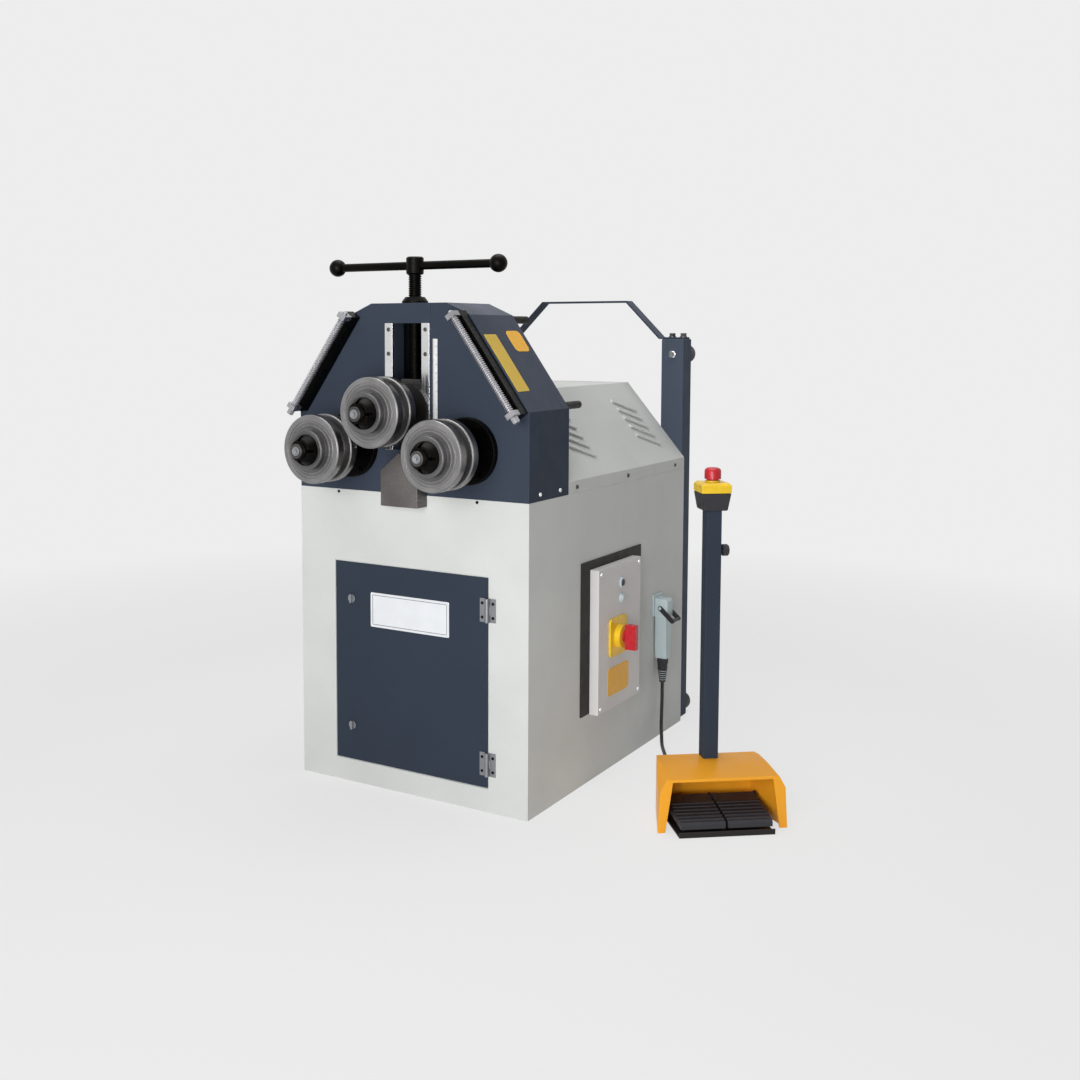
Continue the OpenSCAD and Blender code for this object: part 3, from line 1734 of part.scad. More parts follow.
// Screws
module bright_screws() {
    color(bright) {
        both_sides() {
            for (y = [front_y + head_screw_front, front_y + head_screw_rear]) {
                rod_x(screw_r, side_x, side_x + screw_h, y, cab_h + head_screw_h);
            }
            for (y = skirt_screw_ys) {
                rod_x(screw_r, side_x, side_x + screw_h, y, cab_h + skirt_screw_h);
            }
            rod_y(hex_r, rear_y - hex_h, rear_y, post_mid_x, post_top - foot_drop);
            for (x = hoop_bolt_xs) {
                translate([post_mid_x + x, post_mid_y, post_top + hoop_t]) cylinder(r = hex_r, h = hex_h);
            }
        }
        for (sy = [-1, 1], sz = [-1, 1]) {
            rod_x(screw_r, cover_x1, cover_x1 + screw_h, panel_y + sy * (panel_w / 2 - cover_screw_in),
                panel_z + sz * (panel_h / 2 - cover_screw_in));
        }
    }
}

cabinet_shell();
cabinet_top_plate();
head_front_plate();
head_rear_plate();
head_cover();
crosshead_block();
spindle_nut();
slide_guide_strips();
scale_rule();
centre_rest();
lower_bearing_flanges();
lower_bearings();
guide_rails();
gearbox();
drive_motor();
rear_hood();
rear_posts();
rear_feet();
rear_hoop();
frame_hinge_leaves();
electrical_box();
panel_cover();
main_switch_plate();
panel_lamps();
socket_housing();
plug_hood();
pedal_cable();
pedal_base();
pedal_guard();
column();
column_knob();
estop_box();
estop_lid();
bright_screws();
door_panel();
door_hinge_leaves();
upper_door_lock();
lower_door_lock();
slide_block();
spindle();
handle_bar();
upper_shaft();
upper_roll();
upper_roll_nut();
lower_left_shaft();
lower_left_roll();
lower_left_nut();
lower_left_gear();
lower_right_shaft();
lower_right_roll();
lower_right_nut();
lower_right_gear();
drive_pinion();
left_guide_screw();
right_guide_screw();
main_switch_knob();
estop_button();
socket_lever();
left_pedal();
right_pedal();
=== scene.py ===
import json
import math

import bmesh
import bpy
from mathutils import Matrix, Vector


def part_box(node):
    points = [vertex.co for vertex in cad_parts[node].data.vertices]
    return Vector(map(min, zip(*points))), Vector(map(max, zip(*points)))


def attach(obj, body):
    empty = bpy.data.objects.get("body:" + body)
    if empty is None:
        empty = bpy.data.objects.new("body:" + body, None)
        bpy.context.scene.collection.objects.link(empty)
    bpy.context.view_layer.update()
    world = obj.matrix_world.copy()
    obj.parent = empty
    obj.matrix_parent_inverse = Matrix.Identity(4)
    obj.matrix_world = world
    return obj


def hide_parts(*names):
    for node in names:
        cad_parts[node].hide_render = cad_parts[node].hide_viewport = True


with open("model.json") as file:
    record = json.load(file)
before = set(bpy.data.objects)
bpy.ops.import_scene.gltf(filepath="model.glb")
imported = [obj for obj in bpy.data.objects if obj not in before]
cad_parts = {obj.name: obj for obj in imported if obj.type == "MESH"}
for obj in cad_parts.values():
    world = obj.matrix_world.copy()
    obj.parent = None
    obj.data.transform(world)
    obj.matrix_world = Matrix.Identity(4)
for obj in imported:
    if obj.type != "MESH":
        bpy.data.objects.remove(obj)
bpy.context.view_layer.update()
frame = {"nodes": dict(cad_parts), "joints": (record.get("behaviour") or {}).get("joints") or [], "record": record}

nodes = frame["nodes"]
record = frame["record"]
joints = {joint["name"]: joint for joint in frame["joints"]}
scene = bpy.context.scene
scene.view_settings.view_transform = "Standard"


# Camera at the photograph's viewing angle
camera_place = (1.6379, -2.8048, 1.0675)
camera_pitch = math.radians(85.24)
camera_yaw = math.radians(32.05)
camera_data = bpy.data.cameras.new("camera")
camera_data.sensor_width = 36.0
camera_data.lens = 42.61
camera_data.shift_x = 0.0693
camera_data.shift_y = -0.0942
camera = bpy.data.objects.new("camera", camera_data)
camera.location = camera_place
camera.rotation_euler = (camera_pitch, 0.0, camera_yaw)
scene.collection.objects.link(camera)
scene.camera = camera


# Small helpers for node trees
def add_node(tree, kind, inputs=None, **settings):
    node = tree.nodes.new(kind)
    for key, value in settings.items():
        setattr(node, key, value)
    for key, value in (inputs or {}).items():
        if isinstance(value, bpy.types.NodeSocket):
            tree.links.new(value, node.inputs[key])
        else:
            node.inputs[key].default_value = value
    return node


def vector_math(tree, operation, *values):
    return add_node(tree, "ShaderNodeVectorMath", dict(enumerate(values)), operation=operation)


def number_math(tree, operation, *values):
    return add_node(tree, "ShaderNodeMath", dict(enumerate(values)), operation=operation).outputs[0]


def noise(tree, place, scale, detail=2.0, stretch=None):
    """Noise in object space; stretch scales each axis, so a small share draws the pattern out along it."""
    if stretch:
        place = vector_math(tree, "MULTIPLY", place, stretch).outputs[0]
    keys = {"Vector": place, "Scale": scale, "Detail": detail}
    return add_node(tree, "ShaderNodeTexNoise", keys).outputs[0]


def line_noise(tree, along, scale, detail):
    """Noise that changes only with one number, such as a radius."""
    keys = {"W": along, "Scale": scale, "Detail": detail}
    return add_node(tree, "ShaderNodeTexNoise", keys, noise_dimensions="1D").outputs[0]


def spread(tree, value, low, high, start=0.35, end=0.65):
    """Maps the middle of a noise to the range from low to high."""
    keys = {"Value": value, "From Min": start, "From Max": end, "To Min": low, "To Max": high}
    return add_node(tree, "ShaderNodeMapRange", keys).outputs[0]


def blend_colours(tree, share, first, second, blend="MIX"):
    node = add_node(tree, "ShaderNodeMix", data_type="RGBA", blend_type=blend)
    for socket, value in ((0, share), (6, first), (7, second)):
        if isinstance(value, bpy.types.NodeSocket):
            tree.links.new(value, node.inputs[socket])
        else:
            node.inputs[socket].default_value = value
    return node.outputs[2]


def bump(tree, height, depth, normal=None):
    keys = {"Height": height, "Distance": depth, "Strength": 1.0}
    if normal:
        keys["Normal"] = normal
    return add_node(tree, "ShaderNodeBump", keys).outputs[0]


def shade(colour, factor):
    return tuple(min(1.0, part * factor) for part in colour[:3]) + (1.0,)


def start_material(name, **constants):
    """A material with its tree, its shader and its object coordinates.

    The constants go on the shader's own sockets.
    """
    material = bpy.data.materials.new(name)
    material.use_nodes = True
    tree = material.node_tree
    shader = tree.nodes["Principled BSDF"]
    for key, value in constants.items():
        shader.inputs[key.replace("_", " ")].default_value = value
    place = add_node(tree, "ShaderNodeTexCoord").outputs["Object"]
    return material, tree, shader, place


def edge_mask(tree, radius):
    """Near one on convex edges within the radius, zero on flat faces."""
    rounded = add_node(tree, "ShaderNodeBevel", {"Radius": radius}, samples=4).outputs[0]
    plain = add_node(tree, "ShaderNodeNewGeometry").outputs["Normal"]
    match = vector_math(tree, "DOT_PRODUCT", rounded, plain).outputs["Value"]
    return spread(tree, match, low=1.0, high=0.0, start=0.80, end=0.985)


# Finishes
# Upward tilts at which the painted top sheen starts and is full
sheen_start = 0.35
sheen_full = 0.95
centre_dimming = (0.54, 0.54, 0.55, 1.0)


def paint(name, colour, roughness, thin_edge_and_highlight=1.25, shine=0.30, top_sheen=None):
    """Powder coat: fine orange peel, faint mottling, uneven gloss, and lighter edges from thinner paint there plus
    a painted highlight.

    top_sheen gives the colour of faces that look straight up, a painted sheen from the top light; steeper ones
    have less of it.
    """
    material, tree, shader, place = start_material(name, IOR=1.5, Specular_IOR_Level=shine)
    mottle = noise(tree, place, scale=5.0, detail=4.0)
    speck = noise(tree, place, scale=420.0)
    body = blend_colours(tree, spread(tree, mottle, 0.0, 1.0), shade(colour, 0.955), shade(colour, 1.03))
    grains = spread(tree, speck, low=0.0, high=0.25, start=0.55, end=0.75)
    grained = blend_colours(tree, grains, body, shade(colour, 0.88))
    # Lighter edges: thinner paint there plus a painted highlight
    edged = blend_colours(tree, edge_mask(tree, radius=0.0025), grained, shade(colour, thin_edge_and_highlight))
    # Up-facing faces are lightened: a painted sheen from the top light
    if top_sheen:
        normal = add_node(tree, "ShaderNodeNewGeometry").outputs["Normal"]
        rise = add_node(tree, "ShaderNodeSeparateXYZ", {0: normal}).outputs["Z"]
        sheen_share = spread(tree, rise, low=0.0, high=1.0, start=sheen_start, end=sheen_full)
        edged = blend_colours(tree, sheen_share, edged, top_sheen)
    gloss = spread(tree, noise(tree, place, scale=26.0, detail=5.0), roughness - 0.05, roughness + 0.07)
    fine_peel = bump(tree, noise(tree, place, scale=950.0, detail=1.0), depth=0.00010)
    peel = bump(tree, noise(tree, place, scale=240.0, detail=1.0), depth=0.00012, normal=fine_peel)
    tree.links.new(edged, shader.inputs["Base Color"])
    tree.links.new(gloss, shader.inputs["Roughness"])
    tree.links.new(peel, shader.inputs["Normal"])
    return material


def ground_steel(name, colour, roughness, stretch, stain=0.75, depth=0.00003, bare=None):
    """Ground or drawn metal: fine lines along one axis, cloudy handling stains and a worn, brighter edge.

    bare gives another colour and the Y in front of which it shows.
    """
    material, tree, shader, place = start_material(name, Metallic=1.0)
    lines = noise(tree, place, scale=1.0, detail=4.0, stretch=stretch)
    cloud = noise(tree, place, scale=16.0, detail=5.0)
    body = blend_colours(tree, spread(tree, cloud, 0.0, 1.0), shade(colour, stain), shade(colour, 1.05))
    lined = blend_colours(tree, spread(tree, lines, 0.0, 0.45), body, shade(colour, 0.70))
    worn = blend_colours(tree, edge_mask(tree, radius=0.0016), lined, shade(colour, 1.45))
    if bare:
        bare_colour, bare_y = bare
        depth_y = add_node(tree, "ShaderNodeSeparateXYZ", {0: place}).outputs["Y"]
        ahead = number_math(tree, "LESS_THAN", depth_y, bare_y)
        clouds = spread(tree, cloud, 0.0, 1.0)
        metal = blend_colours(tree, clouds, shade(bare_colour, stain), shade(bare_colour, 1.05))
        worn = blend_colours(tree, ahead, worn, metal)
    gloss = spread(tree, lines, roughness - 0.06, roughness + 0.10)
    tree.links.new(worn, shader.inputs["Base Color"])
    tree.links.new(gloss, shader.inputs["Roughness"])
    tree.links.new(bump(tree, lines, depth), shader.inputs["Normal"])
    return material


def turned_steel(name, colour, roughness, centre, dark_centre=None):
    """Lathe-turned steel: rings about an axis along Y through centre, with cloudy stains, an optional darker
    centre and bright worn edges.

    dark_centre gives the radius up to which the face is darker and the one from which it has its full colour.
    """
    material, tree, shader, place = start_material(name, Metallic=1.0)
    across_axis = (1.0, 0.0, 1.0)
    feed_stretch = (30.0, 900.0, 30.0)
    offset = vector_math(tree, "SUBTRACT", place, centre).outputs[0]
    flat = vector_math(tree, "MULTIPLY", offset, across_axis).outputs[0]
    radius = vector_math(tree, "LENGTH", flat).outputs["Value"]
    rings = line_noise(tree, radius, scale=950.0, detail=3.0)
    bands = line_noise(tree, radius, scale=120.0, detail=1.0)
    feed_lines = noise(tree, place, scale=1.0, detail=3.0, stretch=feed_stretch)
    cloud = noise(tree, place, scale=24.0, detail=6.0)
    body = blend_colours(tree, spread(tree, cloud, 0.0, 1.0), shade(colour, 0.70), shade(colour, 1.10))
    banded = blend_colours(tree, spread(tree, bands, 0.0, 0.4), body, shade(colour, 0.62))
    ringed = blend_colours(tree, spread(tree, rings, 0.0, 0.5), banded, shade(colour, 1.25))
    if dark_centre:
        dark_end, full_start = dark_centre
        # Darker towards the centre, up to dark_end; full colour from full_start
        centre_share = spread(tree, radius, low=1.0, high=0.0, start=dark_end, end=full_start)
        ringed = blend_colours(tree, centre_share, ringed, centre_dimming, "MULTIPLY")
    worn = blend_colours(tree, edge_mask(tree, radius=0.0022), ringed, shade(colour, 1.9))
    gloss = spread(tree, rings, roughness - 0.08, roughness + 0.12)
    ring_bump = bump(tree, rings, depth=0.00006)
    tree.links.new(worn, shader.inputs["Base Color"])
    tree.links.new(gloss, shader.inputs["Roughness"])
    tree.links.new(bump(tree, feed_lines, depth=0.00004, normal=ring_bump), shader.inputs["Normal"])
    return material


def moulded(name, colour, roughness, grain=900.0, depth=0.00006, sheen=0.0, marks=0.08):
    """Moulded plastic or rubber: fine moulded grain, faint flow marks and rubbed edges."""
    material, tree, shader, place = start_material(name, IOR=1.5, Specular_IOR_Level=0.35, Sheen_Weight=sheen)
    flow = spread(tree, noise(tree, place, scale=34.0, detail=3.0), 0.0, 1.0)
    body = blend_colours(tree, flow, shade(colour, 1.0 - marks), shade(colour, 1.0 + marks))
    rubbed = blend_colours(tree, edge_mask(tree, radius=0.0014), body, shade(colour, 1.45))
    gloss = spread(tree, noise(tree, place, scale=60.0, detail=5.0), roughness - 0.06, roughness + 0.08)
    tree.links.new(rubbed, shader.inputs["Base Color"])
    tree.links.new(gloss, shader.inputs["Roughness"])
    tree.links.new(bump(tree, noise(tree, place, grain), depth), shader.inputs["Normal"])
    return material


upper_centre = Vector(joints["upper_roll_spin"]["pos_m"])
left_centre = Vector(joints["lower_left_spin"]["pos_m"])
right_centre = Vector(joints["lower_right_spin"]["pos_m"])
upright_grain = (420.0, 420.0, 9.0)
even_grain = (260.0, 40.0, 260.0)

steel_grey = (0.260, 0.254, 0.254, 1.0)
roll_dark_centre = (0.052, 0.070)
oxide_black = (0.0085, 0.0078, 0.0072, 1.0)
guide_grey = (0.41, 0.41, 0.43, 1.0)
navy = (0.046, 0.058, 0.083, 1.0)
# Colour of up-facing navy faces: a painted sheen from the top light
navy_top_sheen = (0.115, 0.127, 0.160, 1.0)
roll_gloss = 0.36
nut_gloss = 0.38
finishes = {
    "cabinet_paint": paint("cabinet_paint", (0.650, 0.664, 0.645, 1.0), 0.44, thin_edge_and_highlight=1.06),
    "navy_paint": paint("navy_paint", navy, 0.52, thin_edge_and_highlight=1.6, shine=0.04, top_sheen=navy_top_sheen),
    "black_paint": paint("black_paint", (0.024, 0.022, 0.021, 1.0), 0.48, thin_edge_and_highlight=1.9, shine=0.12),
    "orange_paint": paint("orange_paint", (0.900, 0.385, 0.020, 1.0), 0.36, thin_edge_and_highlight=1.10),
    "motor_paint": paint("motor_paint", (0.10, 0.14, 0.19, 1.0), 0.45),
    "bright_steel": ground_steel("bright_steel", (0.78, 0.78, 0.79, 1.0), 0.24, upright_grain, stain=0.88),
    "raw_steel": ground_steel("raw_steel", (0.170, 0.157, 0.152, 1.0), 0.50, even_grain),
    "dark_steel": ground_steel("dark_steel", (0.10, 0.097, 0.095, 1.0), 0.38, even_grain),
    "black_oxide": ground_steel("black_oxide", oxide_black, 0.40, even_grain, stain=0.7),
    "rule_plate": moulded("rule_plate", (0.86, 0.86, 0.85, 1.0), 0.38, grain=500.0, depth=0.00002),
    "connector_alloy": paint("connector_alloy", (0.56, 0.66, 0.69, 1.0), 0.38, thin_edge_and_highlight=1.2),
    "yellow_plastic": moulded("yellow_plastic", (0.86, 0.56, 0.025, 1.0), 0.32),
    "red_plastic": moulded("red_plastic", (0.52, 0.018, 0.028, 1.0), 0.30),
    "lamp_plastic": moulded("lamp_plastic", (0.52, 0.56, 0.58, 1.0), 0.25),
    "black_plastic": moulded("black_plastic", (0.023, 0.023, 0.028, 1.0), 0.46),
    "black_rubber": moulded("black_rubber", (0.015, 0.015, 0.015, 1.0), 0.66,
                            grain=700.0, depth=0.00012, sheen=0.15),
}
hinge_zinc = ground_steel("hinge_zinc", (0.29, 0.30, 0.315, 1.0), 0.42, upright_grain, stain=0.85)
guide_steel = ground_steel("guide_steel", guide_grey, 0.46, upright_grain, stain=0.88)
# A darker copy of the navy paint for the door and the column; on the column it is painted shade, as its faces turn
# from the light
shaded_deep_navy = paint("shaded_deep_navy", (0.036, 0.047, 0.068, 1.0), 0.52, thin_edge_and_highlight=1.6, shine=0.04)

# The lugs that stand out in front of the guide rails are bare steel
lug_start = 0.0301
rail_bare = (guide_grey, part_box("cabinet_shell")[0].y - lug_start)
own_finishes = {
    "frame_hinge_leaves": hinge_zinc,
    "door_hinge_leaves": hinge_zinc,
    "upper_door_lock": hinge_zinc,
    "lower_door_lock": hinge_zinc,
    "guide_rails": ground_steel("rail_oxide", oxide_black, 0.40, even_grain, stain=0.7, bare=rail_bare),
    "door_panel": shaded_deep_navy,
    "column": shaded_deep_navy,
    "panel_cover": paint("panel_paint", (0.71, 0.695, 0.688, 1.0), 0.44, thin_edge_and_highlight=1.06),
    # A lighter copy of the navy paint for the posts: painted light
    "rear_posts": paint("lit_post_navy", (0.072, 0.089, 0.124, 1.0), 0.52, thin_edge_and_highlight=1.5, shine=0.04),
    "upper_roll": turned_steel("turned_upper", steel_grey, roll_gloss, upper_centre, roll_dark_centre),
    "lower_left_roll": turned_steel("turned_left", steel_grey, roll_gloss, left_centre, roll_dark_centre),
    "lower_right_roll": turned_steel("turned_right", steel_grey, roll_gloss, right_centre, roll_dark_centre),
    "upper_roll_nut": turned_steel("turned_nut_upper", oxide_black, nut_gloss, upper_centre),
    "lower_left_nut": turned_steel("turned_nut_left", oxide_black, nut_gloss, left_centre),
    "lower_right_nut": turned_steel("turned_nut_right", oxide_black, nut_gloss, right_centre),
}
label_skin = {"grain": 500.0, "depth": 0.00002, "marks": 0.02}
label_white = moulded("label_white", (0.78, 0.80, 0.83, 1.0), 0.40, **label_skin)
label_yellow = moulded("label_yellow", (0.70, 0.47, 0.05, 1.0), 0.40, **label_skin)
label_orange = moulded("label_orange", (0.92, 0.47, 0.035, 1.0), 0.40, **label_skin)
label_ink = moulded("label_ink", (0.05, 0.06, 0.08, 1.0), 0.50, **label_skin)
dark_lens = moulded("dark_lens", (0.03, 0.03, 0.05, 1.0), 0.16)

# Edges of the carried-over solids: a small real round, wider on cast and moulded pieces
edge_round = {
    "cabinet_shell": 0.0020, "rear_hood": 0.0008, "panel_cover": 0.0009, "pedal_guard": 0.0008,
    "head_front_plate": 0.0015, "head_rear_plate": 0.0015, "head_cover": 0.0010, "crosshead_block": 0.0012,
    "column": 0.0020, "rear_posts": 0.0025, "rear_hoop": 0.0010, "estop_box": 0.0030, "estop_lid": 0.0012,
    "main_switch_plate": 0.0012, "main_switch_knob": 0.0018, "left_pedal": 0.0010, "right_pedal": 0.0010,
    "plug_hood": 0.0022, "socket_housing": 0.0018, "centre_rest": 0.0012, "door_panel": 0.0006,
}
usual_round = 0.0005
round_angle = math.radians(28.0)
flat_angle = math.radians(0.5)
unmerged_faces = ("slide_block",)
face_weld = 0.00001
weld_gap = 0.000002


def soften(piece, width, flatten=True):
    """Welds the solid's faces and rounds its edges, so that they catch the light as machined ones do."""
    weld = piece.modifiers.new("weld", "WELD")
    weld.merge_threshold = face_weld
    if flatten:
        flat = piece.modifiers.new("flat_faces", "DECIMATE")
        flat.decimate_type = "DISSOLVE"
        flat.angle_limit = flat_angle
    rounding = piece.modifiers.new("edge_round", "BEVEL")
    rounding.width = width
    rounding.segments = 2
    rounding.limit_method = "ANGLE"
    rounding.angle_limit = round_angle
    rounding.use_clamp_overlap = True
    normals = piece.modifiers.new("face_normals", "WEIGHTED_NORMAL")
    normals.keep_sharp = False


for part in record["subparts"]:
    solid = nodes[part["node"]]
    finish = own_finishes.get(part["node"], finishes[part["material_slot"]])
    for slot in solid.material_slots:
        slot.material = finish
    soften(solid, edge_round.get(part["node"], usual_round), part["node"] not in unmerged_faces)


# Mesh helpers
def new_piece(name, mesh_data, material, body, round_width=0.0):
    mesh = bpy.data.meshes.new(name)
    mesh_data.to_mesh(mesh)
    mesh_data.free()
    mesh.materials.append(material)
    for face in mesh.polygons:
        face.use_smooth = True
    mesh.set_sharp_from_angle(angle=round_angle)
    piece = bpy.data.objects.new(name, mesh)
    scene.collection.objects.link(piece)
    if round_width:
        soften(piece, round_width)
    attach(piece, body)
    return piece


def facing(place, way):
    """A frame at place whose Z axis points along way."""
    turn = Vector((0.0, 0.0, 1.0)).rotation_difference(Vector(way).normalized())
    return Matrix.Translation(Vector(place)) @ turn.to_matrix().to_4x4()


forward = (0.0, -1.0, 0.0)
backward = (0.0, 1.0, 0.0)
rightward = (1.0, 0.0, 0.0)
upward = (0.0, 0.0, 1.0)


def ring_radius(radius, angle, sides):
    """A circle, a polygon of so many sides, or with a negative count that many flutes."""
    if sides > 0:
        step = 2.0 * math.pi / sides
        return radius * math.cos(step / 2.0) / math.cos(angle % step - step / 2.0)
    if sides < 0:
        flute_share = 0.09
        return radius * (1.0 - flute_share * (0.5 + 0.5 * math.cos(sides * angle)) ** 2)
    return radius


def spin(mesh, profile, place, segments=48):
    """Adds a turned form about the Z axis of place: profile gives radius, height and sides if not round."""
    rings = []
    for point in profile:
        radius, height = point[:2]
        sides = point[2] if len(point) > 2 else 0
        if radius == 0.0:
            rings.append([mesh.verts.new(place @ Vector((0.0, 0.0, height)))])
            continue
        ring = []
        for step in range(segments):
            angle = 2.0 * math.pi * step / segments
            reach = ring_radius(radius, angle, sides)
            spot = Vector((reach * math.cos(angle), reach * math.sin(angle), height))
            ring.append(mesh.verts.new(place @ spot))
        rings.append(ring)
    for low, high in zip(rings, rings[1:]):
        for step in range(segments):
            after = (step + 1) % segments
            below = (low[step % len(low)], low[after % len(low)])
            above = (high[after % len(high)], high[step % len(high)])
            face = list(dict.fromkeys(below + above))
            if len(face) > 2:
                mesh.faces.new(face)


def thread(mesh, radius, depth, pitch, low, high, place, segments=40):
    """Makes a right-handed screw thread about the Z axis of place, cut flat and closed at low and high."""
    shares = ((0.0, radius), (0.18, radius), (0.5, radius - depth), (0.68, radius - depth))
    spare_turns = 2
    turns = math.ceil((high - low) / pitch) + spare_turns + 1
    rows = []
    for turn in range(turns):
        for share, reach in shares:
            row = []
            for step in range(segments + 1):
                angle = 2.0 * math.pi * step / segments
                height = low + pitch * (turn - spare_turns + share + step / segments)
                spot = Vector((reach * math.cos(angle), reach * math.sin(angle), height))
                row.append(mesh.verts.new(place @ spot))
            rows.append(row)
    for below, above in zip(rows, rows[1:]):
        for step in range(segments):
            mesh.faces.new((below[step], below[step + 1], above[step + 1], above[step]))
    bmesh.ops.remove_doubles(mesh, verts=mesh.verts[:], dist=weld_gap)
    way = place.to_3x3() @ Vector((0.0, 0.0, 1.0))
    cut_gap = 0.0000002
    for height, outward in ((low, -way), (high, way)):
        whole = mesh.verts[:] + mesh.edges[:] + mesh.faces[:]
        cut = place @ Vector((0.0, 0.0, height))
        bmesh.ops.bisect_plane(mesh, geom=whole, dist=cut_gap, plane_co=cut, plane_no=outward,
                               clear_outer=True)
    rims = [edge for edge in mesh.edges if edge.is_boundary]
    bmesh.ops.holes_fill(mesh, edges=rims, sides=0)


corner_share = 0.3


def slab(mesh, place, width, height, thickness, corner, steps=5):
    """Adds a plate with round corners, lying on the XY plane of place and standing up along its Z axis."""
    outline = []
    for turn, (sx, sy) in enumerate(((1, 1), (-1, 1), (-1, -1), (1, -1))):
        for step in range(steps + 1):
            angle = math.pi / 2.0 * (turn + step / steps)
            x = sx * (width / 2.0 - corner) + corner * math.cos(angle)
            y = sy * (height / 2.0 - corner) + corner * math.sin(angle)
            outline.append((x, y))
    low = [mesh.verts.new(place @ Vector((x, y, 0.0))) for x, y in outline]
    high = [mesh.verts.new(place @ Vector((x, y, thickness))) for x, y in outline]
    count = len(outline)
    mesh.faces.new(high)
    mesh.faces.new(low[::-1])
    for step in range(count):
        after = (step + 1) % count
        mesh.faces.new((low[step], low[after], high[after], high[step]))


def socket_screw(mesh, place, radius, height):
    """Adds a button-head screw with a hexagon socket."""
    socket = radius * 0.52
    spin(mesh, (
        (0.0, 0.0), (radius, 0.0), (radius, height * 0.35), (radius * 0.93, height * 0.68),
        (radius * 0.78, height * 0.92), (radius * 0.64, height), (socket, height, 6),
        (socket, height * 0.35, 6), (0.0, height * 0.25),
    ), place, segments=24)


def hex_bolt(mesh, place, radius, height):
    """Adds a hexagon bolt head with a chamfered top on a washer."""
    washer_share = 0.22
    foot = height * washer_share
    washer_r = radius * 1.12
    flats_r = radius * 0.98
    spin(mesh, (
        (0.0, 0.0), (washer_r, 0.0), (washer_r, foot), (flats_r, foot), (flats_r, foot, 6),
        (flats_r, height * 0.88, 6), (radius * 0.82, height), (0.0, height),
    ), place, segments=24)


# Pedal cable: the same round points as the solid, from the plug's gland to the station's gland
cable_d = 0.009
cable_start = Vector((0.3315, 0.256, 0.156))
cable_lead = [(0, 0, 0), (0, 0, -0.020), (0, 0, -0.040), (0, -0.001, -0.062)]
cable_floor = [
    (0.333, 0.250, 0.066), (0.337, 0.240, 0.040), (0.345, 0.224, 0.020), (0.355, 0.203, 0.008),
    (0.367, 0.180, 0.0045), (0.386, 0.146, 0.0045), (0.405, 0.112, 0.0045), (0.422, 0.078, 0.0045),
    (0.438, 0.042, 0.0045), (0.453, 0.006, 0.0045), (0.468, -0.030, 0.0045), (0.482, -0.064, 0.0045),
    (0.495, -0.094, 0.0045), (0.506, -0.115, 0.007), (0.516, -0.130, 0.014), (0.526, -0.143, 0.023),
    (0.534, -0.153, 0.028),
]
cable_end = Vector((0.544905, -0.163003, 0.030))
cable_route = [cable_start + Vector(point) for point in cable_lead]
cable_route += [Vector(point) for point in cable_floor]
cable_route.append(cable_end)
cable_steps = 6


def smooth_route(route, steps):
    """Points on a smooth curve through the route."""
    last = len(route) - 1
    points = []
    for index in range(last):
        a, b, c, d = (route[min(max(index + shift, 0), last)] for shift in (-1, 0, 1, 2))
        for step in range(steps):
            u = step / steps
            points.append((2 * b + (c - a) * u + (2 * a - 5 * b + 4 * c - d) * u ** 2
                           + (3 * b - a - 3 * c + d) * u ** 3) / 2)
    return points + [route[last]]


cable_points = smooth_route(cable_route, cable_steps)
cable_curve = bpy.data.curves.new("pedal_lead", "CURVE")
cable_curve.dimensions = "3D"
cable_curve.bevel_depth = cable_d / 2
cable_curve.bevel_resolution = 5
cable_curve.use_fill_caps = True
spline = cable_curve.splines.new("POLY")
spline.points.add(len(cable_points) - 1)
for spot, point in zip(spline.points, cable_points):
    spot.co = (*point, 1.0)
cable_curve.materials.append(finishes["black_rubber"])
cable = bpy.data.objects.new("pedal_lead", cable_curve)
scene.collection.objects.link(cable)
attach(cable, "frame")
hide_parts("pedal_cable")


# Studio: pale floor, soft key from the front, a low light beside the camera, a top light and even fill
background = 0.847
floor_albedo = 0.92
fill_level = 0.07
floor_size = 30.0
floor_drop = 0.0005
near_glow = 0.78
fade_start = 1.3
fade_end = 3.2
studio_lights = {
    "key": {"place": (0.75, -4.6, 1.50), "target": (0.1, -0.2, 0.6), "size": 2.0, "power": 100.0},
    "low": {"place": (1.75, -3.7, 0.70), "target": (0.4, -0.2, 0.4), "size": 1.0, "power": 38.0},
    "top": {"place": (0.2, 0.0, 3.6), "target": (0.1, 0.0, 0.6), "size": 2.4, "power": 66.0},
}


def grey(level):
    return level, level, level, 1.0


def backdrop_switch(tree):
    """One for rays from the camera, from gloss and through glass, zero for light that falls on the object."""
    path = add_node(tree, "ShaderNodeLightPath")
    total = path.outputs["Is Camera Ray"]
    for name in ("Is Glossy Ray", "Is Transmission Ray"):
        total = number_math(tree, "MAXIMUM", total, path.outputs[name])
    return total


